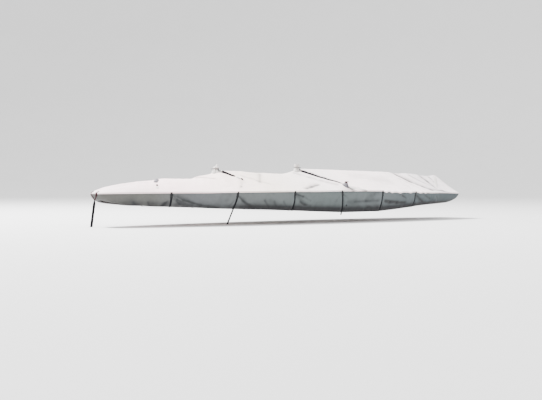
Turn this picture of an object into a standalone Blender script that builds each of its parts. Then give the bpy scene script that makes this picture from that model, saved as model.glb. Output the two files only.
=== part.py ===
"""Fitted boat cover for a long, shallow racing hull that is stored with its mast up.

The cover is a shell of cloth that is open underneath.  X runs from bow (-X) to stern
(+X), Y runs across (port is -Y) and Z is up.  The origin is on the centreline at half
length, level with the sheer line, where the boat's deck lies under the cover.
All sizes are in metres.
"""

import math

import bmesh
import bpy
import numpy as np
from mathutils import Matrix, Vector
from mathutils.bvhtree import BVHTree

# ---------------------------------------------------------------- driving sizes
CLOTH = 0.002            # thickness of the cover cloth
SEAM_GAP = 0.0006        # clearance between two pieces of cloth sewn to each other
VALANCE = 0.030          # turned-down edge of the top cloth
SKIRT_START = 0.006      # how far below the sheer the side cloth begins
LIP = 0.085              # width of the hem that turns in under the hull
LIP_RISE = 0.012         # how much the inner edge of that hem lifts
TENT_POWER = 1.16        # sag of the top cloth between ridge and sheer, 1 is straight
ROOF_COLUMNS = 16        # strips of facets across the top cloth
CENTRE_GAP = 0.0010      # half the gap between the port and starboard sides

PANEL_GAP = 0.0030       # gap along X between the two panels of the top cloth

MAST_X = 0.195
MAST_HOLE = 0.078        # radius of the hole in the top cloth for the mast
FORE_PEAK_X = -2.390
FORESTAY_X = -4.030
BACKSTAY_X = 5.420
STAY_HOLE = 0.012
SHROUD_X = 0.910
SHROUD_HALF = 1.150

WEBBING = 0.044          # width of the side straps
WEBBING_THICK = 0.0018
STRAP_LIFT = 0.0014      # clearance between a strap and the cloth it lies on
PATCH_LIFT = 0.0008      # clearance between a patch and the top cloth
PATCH_THICK = 0.0020
ARCH_END = 0.4           # how much of its arch a strip keeps at either end
BELLY_DROP = 0.006       # how far under the hem a belly strap starts
BELLY_SAG = 0.010        # how much lower it is at mid beam
STRAP_TAIL = 0.090       # strap end that turns in under the hem on starboard
BOW_STRAP_HALF = 0.026
BOW_STRAP_TURN = 1.1     # radians that the strap at the bow turns on its way down
BUCKLE_THICK = 0.012
BUCKLE_LIFT = 0.0009     # clearance between a buckle and its strap
BUCKLE_DROP = 0.096      # middle of a buckle below the sheer
CORD_RADIUS = 0.006
TIE_LIFT = 0.0001        # clearance between a tie and the neck it is drawn round

# One row for each section of the hull, bow to stern corner.  The sheer is the outer
# edge of the top cloth, the hem the lower edge of the side, centre_x the place on the
# ridge where the section starts, steps the rows of facets to the next section.
SECTION_COLUMNS = (
    "sheer_x", "sheer_half", "sheer_z", "hem_x", "hem_half", "hem_z", "centre_x", "steps",
)
SECTIONS = (
    (-5.790, 0.000, 0.004, -5.670, 0.000, -0.168, -5.790, 1),
    (-5.775, 0.140, 0.004, -5.655, 0.110, -0.172, -5.775, 1),
    (-5.735, 0.270, 0.005, -5.612, 0.210, -0.188, -5.735, 1),
    (-5.620, 0.380, 0.006, -5.515, 0.300, -0.218, -5.620, 1),
    (-5.400, 0.470, 0.009, -5.340, 0.375, -0.250, -5.395, 3),
    (-5.000, 0.590, 0.012, -4.960, 0.475, -0.288, -4.985, 3),
    (-4.500, 0.715, 0.016, -4.475, 0.590, -0.325, -4.470, 3),
    (-4.000, 0.825, 0.018, -3.985, 0.695, -0.336, -3.950, 6),
    (-3.000, 1.000, 0.024, -2.990, 0.860, -0.386, -2.950, 7),
    (-2.000, 1.135, 0.030, -1.995, 0.985, -0.418, -1.980, 6),
    (-1.000, 1.230, 0.038, -1.000, 1.075, -0.454, -1.130, 6),
    (0.000, 1.280, 0.043, 0.000, 1.120, -0.499, -0.520, 6),
    (1.000, 1.295, 0.047, 1.000, 1.135, -0.531, MAST_X, 6),
    (2.000, 1.275, 0.042, 1.990, 1.110, -0.524, 1.550, 6),
    (3.000, 1.205, 0.021, 2.960, 1.030, -0.469, 2.740, 6),
    (4.000, 1.090, -0.002, 3.930, 0.915, -0.389, 3.800, 6),
    (5.000, 0.930, -0.022, 4.820, 0.750, -0.346, 4.780, 4),
    (5.550, 0.825, -0.036, 5.250, 0.650, -0.326, 5.310, 1),
    (5.655, 0.795, -0.040, 5.335, 0.612, -0.318, 5.470, 2),
    (5.725, 0.750, -0.042, 5.385, 0.570, -0.310, 5.790, 0),
)
SEAM_SECTION = 12        # the section that the mast-to-shroud opening follows
HEM_STERN_X = 5.440      # hem of the stern on the centreline

# The ridge, bow to stern: its height, and how round the section is there, from 1 for a
# deck's even crown to 0 for cloth stretched from a peak.
RIDGE_COLUMNS = ("x", "height", "crown")
RIDGE = (
    (-5.790, 0.004, 1.00),
    (-5.700, 0.050, 1.00),
    (-5.520, 0.112, 1.00),
    (-5.230, 0.174, 1.00),
    (-4.930, 0.228, 0.95),
    (-4.520, 0.273, 0.90),
    (-4.200, 0.294, 0.85),
    (-4.020, 0.326, 0.75),
    (-3.680, 0.332, 0.70),
    (-3.130, 0.338, 0.60),
    (-2.950, 0.395, 0.45),
    (-2.720, 0.428, 0.30),
    (-2.550, 0.466, 0.20),
    (-2.390, 0.546, 0.10),
    (-2.110, 0.541, 0.12),
    (-1.640, 0.537, 0.18),
    (-1.490, 0.520, 0.22),
    (-1.340, 0.507, 0.25),
    (-1.020, 0.500, 0.25),
    (-0.420, 0.480, 0.25),
    (-0.150, 0.504, 0.18),
    (0.030, 0.545, 0.10),
    (0.195, 0.590, 0.05),
    (0.500, 0.612, 0.08),
    (1.010, 0.608, 0.12),
    (1.910, 0.590, 0.15),
    (2.860, 0.570, 0.12),
    (3.760, 0.548, 0.08),
    (4.730, 0.492, 0.05),
    (5.120, 0.450, 0.05),
    (5.310, 0.468, 0.03),
    (5.470, 0.478, 0.00),
    (5.620, 0.255, 0.00),
    (5.790, -0.042, 0.00),
)

# Folds in the top cloth: a line from one place to another in plan, the half width of
# the fold, and its height at either end, which is negative for a trough.
TOP_FOLD_COLUMNS = (
    "from_x", "from_y", "to_x", "to_y", "half_width", "from_height", "to_height",
)
TOP_FOLDS = (
    (0.195, 0.00, 0.910, -1.15, 0.20, 0.000, 0.105),
    (0.195, 0.00, 0.910, 1.15, 0.20, 0.000, 0.105),
    (-2.390, 0.00, -2.050, -0.50, 0.14, 0.000, 0.030),
    (-2.050, -0.50, -2.400, -1.05, 0.10, 0.022, 0.006),
    (-2.390, 0.00, -2.420, 0.90, 0.15, 0.000, 0.016),
    (-0.380, -1.12, 0.200, -0.84, 0.09, -0.012, -0.018),
    (-1.095, -0.10, -1.500, -0.68, 0.10, -0.014, -0.006),
    (-0.300, 0.10, 0.050, 0.75, 0.14, -0.010, -0.014),
    (3.740, -0.02, 4.000, -0.42, 0.10, -0.026, -0.028),
    (4.000, -0.42, 4.460, -0.84, 0.10, -0.026, -0.014),
    (4.460, -0.84, 5.080, -0.85, 0.07, -0.010, -0.014),
    (4.810, -0.02, 4.790, -0.68, 0.08, -0.022, -0.014),
    (4.520, -0.20, 4.620, -0.60, 0.12, 0.014, 0.008),
    (3.950, 0.02, 4.350, 0.45, 0.12, -0.020, -0.022),
    (4.350, 0.45, 4.900, 0.72, 0.11, -0.014, -0.010),
    (-3.900, 0.00, -3.200, -0.62, 0.14, 0.010, 0.006),
    (-5.250, -0.10, -4.500, -0.18, 0.12, -0.008, -0.012),
    (1.900, -0.35, 3.000, -0.55, 0.22, -0.010, -0.016),
    (1.700, 0.40, 2.900, 0.62, 0.22, -0.012, -0.010),
)

# Dips in the sheer where the top cloth hangs slack between two straps.
SCALLOP_COLUMNS = ("x", "side", "half_width", "drop")
SCALLOPS = (
    (2.680, -1, 0.26, 0.022),
    (3.120, -1, 0.16, 0.014),
    (4.250, -1, 0.30, 0.014),
    (-0.100, -1, 0.40, 0.006),
    (-3.300, -1, 0.45, 0.006),
    (2.900, 1, 0.30, 0.018),
    (4.300, 1, 0.30, 0.012),
    (-1.600, 1, 0.45, 0.008),
)

# How the side falls from the sheer (0) to the hem (1) and how far in it has come.
SIDE_COLUMNS = ("drop", "inset")
SIDE = (
    (0.00, 0.00),
    (0.25, 0.08),
    (0.50, 0.22),
    (0.74, 0.47),
    (0.91, 0.77),
    (1.00, 1.00),
)

# Folds in the side cloth: from and to a place given by X and by how far down the side
# it is, the half width, the outward height (a trough is negative) and the side (-1 is
# port, 1 starboard).
SIDE_FOLD_COLUMNS = ("from_x", "from_drop", "to_x", "to_drop", "half_width", "height", "side")
SIDE_FOLDS = (
    (-4.120, 0.30, -3.780, 0.72, 0.060, 0.020, -1),
    (-3.780, 0.72, -3.300, 1.00, 0.060, 0.018, -1),
    (-4.000, 0.22, -3.650, 0.60, 0.050, -0.016, -1),
    (-4.250, 0.60, -4.420, 0.98, 0.060, -0.016, -1),
    (-5.080, 0.50, -4.780, 0.96, 0.065, -0.016, -1),
    (-4.880, 0.45, -4.620, 0.92, 0.050, 0.014, -1),
    (-2.400, 0.35, -2.100, 0.95, 0.060, -0.018, -1),
    (-2.480, 0.45, -2.750, 0.98, 0.070, 0.014, -1),
    (-1.550, 0.55, -1.250, 0.98, 0.080, -0.012, -1),
    (-0.780, 0.25, -0.480, 0.85, 0.060, -0.016, -1),
    (-0.860, 0.55, -1.060, 0.98, 0.060, 0.012, -1),
    (0.760, 0.72, 2.000, 0.66, 0.060, -0.014, -1),
    (1.950, 0.15, 1.550, 0.50, 0.070, -0.010, -1),
    (2.280, 0.68, 3.080, 0.72, 0.050, -0.024, -1),
    (2.300, 0.52, 3.150, 0.56, 0.060, 0.014, -1),
    (3.600, 0.40, 3.950, 0.92, 0.080, -0.014, -1),
    (4.400, 0.45, 4.700, 0.90, 0.080, 0.014, -1),
    (-4.120, 0.30, -3.650, 0.90, 0.060, 0.018, 1),
    (-2.420, 0.35, -2.050, 0.95, 0.070, -0.016, 1),
    (-0.800, 0.30, -0.300, 0.95, 0.070, 0.014, 1),
    (0.750, 0.40, 1.250, 0.95, 0.070, -0.016, 1),
    (2.200, 0.35, 2.900, 0.80, 0.070, -0.018, 1),
    (3.550, 0.35, 4.100, 0.90, 0.070, 0.014, 1),
    (-5.200, 0.45, -4.750, 0.90, 0.060, -0.014, 1),
)

# Straps, bow to stern: X at the sheer, how far aft the strap has gone at the hem, and
# for a strap that is tied down on the port side, where its lower end is (x, y, z).  The
# others cross under the hull to starboard.
STRAP_COLUMNS = ("x", "slant", "lower_end")
STRAPS = (
    (-4.164, 0.000, None),
    (-2.453, -0.080, (-2.631, -0.850, -0.771)),
    (-0.824, 0.000, None),
    (0.687, 0.095, (0.810, -1.090, -0.600)),
    (2.155, 0.000, None),
    (3.527, 0.000, None),
)

COLOURS = {
    "top_canvas": (0.86, 0.84, 0.83, 1.0),
    "side_canvas": (0.33, 0.35, 0.34, 1.0),
    "white_patch": (0.78, 0.78, 0.76, 1.0),
    "grey_boot": (0.42, 0.41, 0.42, 1.0),
    "dark_webbing": (0.03, 0.03, 0.035, 1.0),
    "dark_grip_tape": (0.06, 0.06, 0.065, 1.0),
    "red_webbing": (0.12, 0.008, 0.02, 1.0),
    "black_plastic": (0.02, 0.02, 0.022, 1.0),
    "dark_cord": (0.05, 0.03, 0.03, 1.0),
}
ROUGHNESS = {"black_plastic": 0.45}
PORT, STARBOARD = -1, 1
SIDE_NAMES = {PORT: "port", STARBOARD: "starboard"}


# ---------------------------------------------------------------- curves from tables
def column(table, names, name):
    """One named column of a table as an array."""
    return np.array([row[names.index(name)] for row in table], dtype=float)


def monotone(xs, ys, at):
    """The smooth curve through (xs, ys) that never overshoots a row, read at `at`."""
    step = np.diff(xs)
    rise = np.diff(ys) / step
    slope = np.zeros(len(xs))
    slope[0], slope[-1] = rise[0], rise[-1]
    for k in range(1, len(xs) - 1):
        before, after = rise[k - 1], rise[k]
        if before * after > 0:
            wide, narrow = 2 * step[k] + step[k - 1], step[k] + 2 * step[k - 1]
            slope[k] = (wide + narrow) / (wide / before + narrow / after)
    at = min(max(at, xs[0]), xs[-1])
    k = min(int(np.searchsorted(xs, at, side="right")) - 1, len(step) - 1)
    t = (at - xs[k]) / step[k]
    return (
        ys[k] * (1 + 2 * t) * (1 - t) ** 2
        + slope[k] * step[k] * t * (1 - t) ** 2
        + ys[k + 1] * t * t * (3 - 2 * t)
        + slope[k + 1] * step[k] * t * t * (t - 1)
    )


RIDGE_X = column(RIDGE, RIDGE_COLUMNS, "x")
RIDGE_HEIGHT = column(RIDGE, RIDGE_COLUMNS, "height")
RIDGE_CROWN = column(RIDGE, RIDGE_COLUMNS, "crown")


def fade(edge_low, edge_high, value):
    """0 below the first edge, 1 above the second and smooth between."""
    t = min(max((value - edge_low) / (edge_high - edge_low), 0.0), 1.0)
    return t * t * (3 - 2 * t)


def fold_height(along, across, start, end, half_width, heights):
    """Height that a fold from start to end adds at a place, rounded off at its ends."""
    line = (end[0] - start[0], end[1] - start[1])
    length = math.hypot(*line)
    offset = (along - start[0], across - start[1])
    reach = (offset[0] * line[0] + offset[1] * line[1]) / length
    aside = abs(offset[0] * line[1] - offset[1] * line[0]) / length
    beyond = max(-reach, reach - length, 0.0)
    share = min(max(reach / length, 0.0), 1.0)
    height = heights[0] + (heights[1] - heights[0]) * share
    return height * math.exp(-((aside / half_width) ** 2) - (beyond / half_width) ** 2)


def scallop(x, side):
    """How far the sheer dips at X on one side."""
    return sum(
        drop * math.exp(-(((x - at) / half) ** 2))
        for at, on_side, half, drop in SCALLOPS
        if on_side == side
    )


class Section:
    """One row of facets: its place on the ridge and on both sheers and hems."""

    def __init__(self, row):
        columns = {
            name: column(SECTIONS, SECTION_COLUMNS, name) for name in SECTION_COLUMNS[:-1]
        }
        places = np.arange(len(SECTIONS), dtype=float)
        value = {name: monotone(places, ys, row) for name, ys in columns.items()}
        self.centre_x = value["centre_x"]
        self.x, self.half, self.z = value["sheer_x"], value["sheer_half"], value["sheer_z"]
        self.hem = (value["hem_x"], value["hem_half"], value["hem_z"])

    def sheer(self, side):
        return Vector((self.x, side * self.half, self.z - scallop(self.x, side)))

    def roof(self, v):
        """The top cloth at v, from -1 at the port sheer over the ridge to 1."""
        edge = self.sheer(STARBOARD if v > 0 else PORT)
        share = abs(v)
        crown = monotone(RIDGE_X, RIDGE_CROWN, self.centre_x)
        ridge = monotone(RIDGE_X, RIDGE_HEIGHT, self.centre_x)
        shape = crown * (1 - share**2) + (1 - crown) * (1 - share) ** TENT_POWER
        x = self.centre_x + (edge.x - self.centre_x) * share
        y = v * self.half
        folds = sum(
            fold_height(x, y, (x0, y0), (x1, y1), half, (low, high))
            for x0, y0, x1, y1, half, low, high in TOP_FOLDS
        )
        return Vector((x, y, edge.z + (ridge - edge.z) * shape + folds * (1 - share**16)))


def section_rows():
    """The places of the rows of facets, and which of them is the mast seam."""
    rows, seam = [], 0
    for k, section in enumerate(SECTIONS):
        if k == SEAM_SECTION:
            seam = len(rows)
        steps = section[-1]
        rows += [k + n / steps for n in range(steps)] if steps else [float(k)]
    return rows, seam


# ---------------------------------------------------------------- making objects
def clear_scene():
    for thing in list(bpy.data.objects):
        bpy.data.objects.remove(thing, do_unlink=True)


def new_collection(name):
    made = bpy.data.collections.new(name)
    bpy.context.scene.collection.children.link(made)
    return made


def material(name):
    made = bpy.data.materials.get(name)
    if made is None:
        made = bpy.data.materials.new(name)
        made.use_nodes = True
        shader = made.node_tree.nodes["Principled BSDF"]
        shader.inputs["Base Color"].default_value = COLOURS[name]
        shader.inputs["Roughness"].default_value = ROUGHNESS.get(name, 0.85)
        shader.inputs["Metallic"].default_value = 0.0
    return made


def add_object(name, mesh, finish, collection):
    made = bpy.data.objects.new(name, mesh)
    mesh.materials.clear()
    mesh.materials.append(material(finish))
    collection.objects.link(made)
    return made


def loft(name, rows, finish, collection, thickness, outward, closed=False):
    """A sheet through rows of points, thickened to one side by Solidify.

    Rows that end in the same point close to a pole.  With `closed` each row is a ring.
    """
    width = len(rows[0])
    points = [tuple(p) for row in rows for p in row]
    faces = []
    for i in range(len(rows) - 1):
        for j in range(width if closed else width - 1):
            k = (j + 1) % width
            faces.append((i * width + j, i * width + k, (i + 1) * width + k, (i + 1) * width + j))
    mesh = bpy.data.meshes.new(name)
    mesh.from_pydata(points, [], faces)
    work = bmesh.new()
    work.from_mesh(mesh)
    bmesh.ops.remove_doubles(work, verts=work.verts, dist=0.00005)
    bmesh.ops.dissolve_degenerate(work, edges=work.edges, dist=0.00002)
    bmesh.ops.triangulate(work, faces=work.faces)
    work.to_mesh(mesh)
    work.free()
    mesh.shade_smooth()
    made = add_object(name, mesh, finish, collection)
    wall = made.modifiers.new("wall", "SOLIDIFY")
    wall.thickness = thickness
    wall.offset = 1.0 if outward else -1.0
    wall.use_even_offset = True
    wall.use_quality_normals = True
    return made


def cord(name, points, radius, finish, collection):
    """A round cord along a list of points, with filled ends."""
    curve = bpy.data.curves.new(name, "CURVE")
    curve.dimensions = "3D"
    curve.bevel_depth = radius
    curve.bevel_resolution = 1
    curve.use_fill_caps = True
    spline = curve.splines.new("POLY")
    spline.points.add(len(points) - 1)
    for place, point in zip(spline.points, points):
        place.co = (*point, 1.0)
    curve.materials.append(material(finish))
    made = bpy.data.objects.new(name, curve)
    collection.objects.link(made)
    return made


def cut_round_hole(sheet, x, y, radius, cutters):
    """Cuts an upright round hole through a sheet of the top cloth."""
    bpy.ops.mesh.primitive_cylinder_add(
        vertices=16, radius=radius, depth=1.6, location=(x, y, 0.4)
    )
    cutter = bpy.context.object
    for home in list(cutter.users_collection):
        home.objects.unlink(cutter)
    cutters.objects.link(cutter)
    cutter.name = f"cutter_{sheet.name}_{len(cutters.objects)}"
    cutter.hide_render = True
    cutter.display_type = "WIRE"
    cut = sheet.modifiers.new("hole", "BOOLEAN")
    cut.operation = "DIFFERENCE"
    cut.solver = "EXACT"
    cut.object = cutter


# ---------------------------------------------------------------- reading a surface
class Surfaces:
    """The finished cloth, asked for the place where a straight line first meets it."""

    def __init__(self, things):
        bpy.context.view_layer.update()
        graph = bpy.context.evaluated_depsgraph_get()
        self.trees = [BVHTree.FromObject(thing, graph) for thing in things]

    def first(self, start, direction):
        best = None
        for tree in self.trees:
            place, _, _, distance = tree.ray_cast(start, direction)
            if place is not None and (best is None or distance < best[1]):
                best = (place, distance)
        return best[0] if best else None

    def top(self, x, y):
        """Height of the top cloth at a place in plan."""
        place = self.first(Vector((x, y, 3.0)), Vector((0, 0, -1)))
        return place.z if place else None

    def side(self, foot, outward, z):
        """The outermost cloth in the upright plane through foot, at height z."""
        start = Vector((foot.x, foot.y, z)) + outward * 0.8
        return self.first(start, -outward)


SAMPLES = [n / 8 for n in range(9)]


def settle(rows, short_by, direction, closed=False):
    """Moves a sheet's points along a direction until the facets between them clear too.

    short_by(point) is how far a place on the sheet still has to go.
    """
    width = len(rows[0])
    for _ in range(4):
        moves = [[0.0] * width for _ in rows]
        for i in range(len(rows) - 1):
            for j in range(width if closed else width - 1):
                corners = ((i, j), (i, (j + 1) % width), (i + 1, j), (i + 1, (j + 1) % width))
                a, b, c, d = (rows[m][n] for m, n in corners)
                spots = [a.lerp(b, u).lerp(c.lerp(d, u), v) for u in SAMPLES for v in SAMPLES]
                spots += [a.lerp(d, u) for u in SAMPLES] + [b.lerp(c, u) for u in SAMPLES]
                worst = max(short_by(spot) for spot in spots)
                for m, n in corners:
                    moves[m][n] = max(moves[m][n], worst)
        for row, shifts in zip(rows, moves):
            for n, shift in enumerate(shifts):
                row[n] = row[n] + direction * shift
    return rows


def settle_on_top(rows, surfaces, closed=False):
    """Lifts a sheet until all of it clears the top cloth."""
    def short_by(point):
        height = surfaces.top(point.x, point.y)
        return height + PATCH_LIFT - point.z if height is not None else 0.0

    return settle(rows, short_by, Vector((0, 0, 1)), closed)


# ---------------------------------------------------------------- cloth panels
def make_top(name, rows, is_stern, collection):
    """A panel of the top cloth with its turned-down edge."""
    spread = [1 - 2 * j / ROOF_COLUMNS for j in range(ROOF_COLUMNS + 1)]
    drop = Vector((0, 0, -VALANCE))
    grid = []
    for k, section in enumerate(rows):
        start = PANEL_GAP if is_stern and k == 0 else 0.0
        line = [section.roof(v) + Vector((start, 0, 0)) for v in spread]
        grid.append([line[0] + drop, *line, line[-1] + drop])
    if is_stern:
        line = [rows[-1].roof(v) + drop for v in spread]
        grid.append([line[0], *line, line[-1]])
    return loft(name, grid, "top_canvas", collection, CLOTH, outward=False)


def plan_normals(points):
    """Outward directions in plan of a line of points, square to the line."""
    normals = []
    for k in range(len(points)):
        before, after = points[max(k - 1, 0)], points[min(k + 1, len(points) - 1)]
        along = Vector((after.x - before.x, after.y - before.y, 0)).normalized()
        normals.append(Vector((-along.y, along.x, 0)))
    return normals


def inset_line(points, distance, outward_sign):
    """The line moved inwards by a distance that stays the same along every facet."""
    moved = []
    for k, point in enumerate(points):
        edges = []
        if k > 0:
            edges.append((point - points[k - 1]).to_2d().normalized())
        if k < len(points) - 1:
            edges.append((points[k + 1] - point).to_2d().normalized())
        sides = [Vector((-e.y, e.x)) * outward_sign for e in edges]
        middle = sum(sides, Vector((0, 0))).normalized()
        reach = distance / max(middle.dot(sides[0]), 0.3)
        moved.append(Vector((point.x - middle.x * reach, point.y - middle.y * reach, point.z)))
    return moved


def side_lines(rows, side):
    """Sheer and hem of one side, from the stem round the stern corner to midships aft."""
    sheer = [section.sheer(side) for section in rows]
    hem = [Vector((s.hem[0], side * s.hem[1], s.hem[2])) for s in rows]
    corner = hem[-1]
    half = ROOF_COLUMNS // 2
    for j in range(half - 1, -1, -1):
        share = j / half
        sheer.append(rows[-1].roof(side * share))
        hem_x = HEM_STERN_X + (corner.x - HEM_STERN_X) * share
        hem.append(Vector((hem_x, corner.y * share, corner.z)))
    return sheer, hem


def side_fold(x, drop, height, side):
    """Outward height of the folds of one side at a place."""
    return sum(
        fold_height(x, drop * height, (x0, d0 * height), (x1, d1 * height), half, (rise, rise))
        for x0, d0, x1, d1, half, rise, on_side in SIDE_FOLDS
        if on_side == side
    )


def make_side(rows, side, collection):
    """The side cloth, from under the turned-down edge to the hem under the hull."""
    sheer, hem = side_lines(rows, side)
    turn = -side
    outer = inset_line(sheer, CLOTH + SEAM_GAP, -turn)
    outward = [normal * -turn for normal in plan_normals(hem)]
    shift = Vector((0, side * CENTRE_GAP, 0))
    outer[0], outer[-1] = outer[0] + shift, outer[-1] + shift
    hem[0], hem[-1] = hem[0] + shift, hem[-1] + shift
    rings = []
    for drop, inset in SIDE:
        ring = []
        for top, low, out in zip(outer, hem, outward):
            height = top.z - low.z
            start = top.z - SKIRT_START
            place = top.lerp(low, inset)
            place.z = start + (low.z - start) * drop
            bulge = side_fold(place.x, drop, height, side) * fade(0.12, 0.35, drop)
            bulge *= 1 - 0.6 * fade(0.85, 1.0, drop)
            bulge *= fade(0.02, 0.10, abs(place.y))
            ring.append(place + out * bulge)
        rings.append(ring)
    for share in (0.4, 1.0):
        ring = []
        for place, out in zip(rings[len(SIDE) - 1], outward):
            inner = place - out * LIP * share
            inner.z += LIP_RISE * share
            ring.append(inner)
        ring[0].y, ring[-1].y = rings[0][0].y, rings[0][-1].y
        rings.append(ring)
    if side == PORT:
        rings = [list(reversed(ring)) for ring in rings]
    name = f"skirt_{SIDE_NAMES[side]}"
    return loft(name, rings, "side_canvas", collection, CLOTH, outward=False)


# ---------------------------------------------------------------- trim on the top cloth
def patch(name, line, finish, surfaces, collection, arch=(0.0, 0.0)):
    """A strip lying on the top cloth along (x, y, width) places, arched along its middle."""
    rows = []
    for k, (x, y, width) in enumerate(line):
        at_end = k in (0, len(line) - 1)
        rise = arch[0] + (arch[1] - arch[0]) * k / (len(line) - 1)
        rise *= ARCH_END if at_end else 1.0
        before, after = line[max(k - 1, 0)], line[min(k + 1, len(line) - 1)]
        along = Vector((after[0] - before[0], after[1] - before[1])).normalized()
        across = Vector((along.y, -along.x))
        row = []
        for share in (-0.5, 0.0, 0.5):
            spot = Vector((x, y)) + across * width * share
            height = surfaces.top(spot.x, spot.y) + PATCH_LIFT + rise * (share == 0)
            row.append(Vector((spot.x, spot.y, height)))
        rows.append(row)
    settle_on_top(rows, surfaces)
    return loft(name, rows, finish, collection, PATCH_THICK, outward=True)


def strip_places(start, end, width, end_width, spacing=0.065):
    """Places along a straight line in plan, close enough to follow the cloth."""
    length = math.hypot(end[0] - start[0], end[1] - start[1])
    count = max(2, round(length / spacing))
    places = []
    for k in range(count + 1):
        share = k / count
        x = start[0] + (end[0] - start[0]) * share
        y = start[1] + (end[1] - start[1]) * share
        places.append((x, y, width + (end_width - width) * share))
    return places


def boot(name, x, y, profile, gathers, finish, surfaces, collection, sides=18):
    """A gathered sleeve that stands on the top cloth.

    The profile's rows are the radius, how closely the ring follows the cloth below
    (1) or lies level (0), its level height, and how far aft its centre lies of the foot.
    """
    depth, folds = gathers
    rings = []
    for radius, follow, level, lean in profile:
        ring = []
        for n in range(sides):
            angle = 2 * math.pi * n / sides
            wave = radius * (1 + depth * (1 - follow) * math.cos(folds * angle))
            px, py = x + lean + wave * math.cos(angle), y + wave * math.sin(angle)
            draped = surfaces.top(px, py) + PATCH_LIFT
            ring.append(Vector((px, py, draped * follow + level * (1 - follow))))
        rings.append(ring)
    settle_on_top(rings, surfaces, closed=True)
    made = loft(name, rings, finish, collection, CLOTH, outward=True, closed=True)
    made["foot_y"] = y
    return made


def neck_tie(name, neck, x, z, tails, finish, collection, turns=12):
    """A cord seated round the neck of a boot, its two ends led side by side to `tails`."""
    cloth = Surfaces([neck])
    y = neck["foot_y"]
    widest = 0.0
    for n in range(72):
        out = Vector((math.cos(n * math.pi / 36), math.sin(n * math.pi / 36), 0))
        for level in (-0.6, -0.3, 0.0, 0.3, 0.6):
            start = Vector((x, y, z + level * CORD_RADIUS)) + out
            hollow = CORD_RADIUS * (1 - math.sqrt(1 - level**2))
            reach = (cloth.first(start, -out) - Vector((x, y, start.z))).length
            widest = max(widest, reach - hollow)
    opening = math.radians(24)
    half_turn = (math.pi - opening) / turns
    radius = (widest + CORD_RADIUS + TIE_LIFT) / math.cos(half_turn)
    direction = math.atan2(tails[1] - y, tails[0] - x)
    points = []
    for n in range(turns + 1):
        angle = direction + opening + (2 * math.pi - 2 * opening) * n / turns
        points.append((x + radius * math.cos(angle), y + radius * math.sin(angle), z))
    apart = Vector((-math.sin(direction), math.cos(direction), 0)) * CORD_RADIUS * 1.6
    first = Vector(tails) + apart
    last = Vector(tails) - apart
    return cord(name, [first, *points, last], CORD_RADIUS, finish, collection)


# Boots: radius of the ring, how closely it follows the cloth, level height, lean aft.
MAST_COLLAR = (
    (0.114, 1.00, 0.000, 0.0),
    (0.098, 0.80, 0.600, 0.0),
    (0.076, 0.40, 0.618, 0.0),
    (0.0655, 0.00, 0.642, 0.0),
    (0.0640, 0.00, 0.658, 0.0),
    (0.0690, 0.00, 0.690, 0.0),
    (0.0670, 0.00, 0.735, 0.0),
)
FORWARD_BOOT = (
    (0.135, 1.00, 0.000, 0.0),
    (0.112, 0.75, 0.535, 0.0),
    (0.082, 0.30, 0.566, 0.0),
    (0.058, 0.00, 0.586, 0.0),
    (0.074, 0.00, 0.610, 0.0),
    (0.068, 0.00, 0.632, 0.0),
    (0.040, 0.00, 0.645, 0.0),
    (0.000, 0.00, 0.648, 0.0),
)
# The ear of cloth above the forward boot: height, half width, lean aft.
FORWARD_EAR = (
    (0.6508, 0.018, 0.000),
    (0.668, 0.030, 0.004),
    (0.686, 0.025, 0.014),
    (0.700, 0.009, 0.024),
)
SHROUD_BOOT = (
    (0.088, 1.00, 0.000, 0.010),
    (0.072, 0.70, 0.205, 0.020),
    (0.050, 0.20, 0.228, 0.028),
    (0.034, 0.00, 0.252, 0.034),
    (0.024, 0.00, 0.282, 0.040),
)
SHROUD_TIE_LEAN = 0.038  # how far aft of the foot that neck is tied


def make_mast_trim(surfaces, collection):
    collar = boot(
        "mast_collar", MAST_X, 0, MAST_COLLAR, (0.02, 7), "white_patch", surfaces, collection
    )
    neck_tie("mast_tie", collar, MAST_X, 0.650, (0.300, -0.045, 0.646), "dark_cord", collection)
    for side, word in SIDE_NAMES.items():
        foot = Vector((SHROUD_X, side * SHROUD_HALF))
        away = (foot - Vector((MAST_X, 0))).normalized()
        start = Vector((MAST_X, 0)) + away * 0.128
        end = foot - away * 0.094
        places = strip_places(start, end, 0.068, 0.032)
        patch(
            f"shroud_closure_{word}", places, "dark_grip_tape", surfaces, collection,
            arch=(0.036, 0.012),
        )
        neck = boot(
            f"shroud_boot_{word}", foot.x, foot.y, SHROUD_BOOT, (0.04, 5), "grey_boot",
            surfaces, collection, sides=14,
        )
        neck_x = foot.x + SHROUD_TIE_LEAN
        tails = (neck_x + 0.062, foot.y + side * 0.02, 0.268)
        neck_tie(f"shroud_tie_{word}", neck, neck_x, 0.272, tails, "red_webbing", collection)
        flap = strip_places((1.035, side * 1.150), (1.560, side * 1.240), 0.130, 0.035, 0.050)
        patch(f"shroud_flap_{word}", flap, "white_patch", surfaces, collection)


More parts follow.
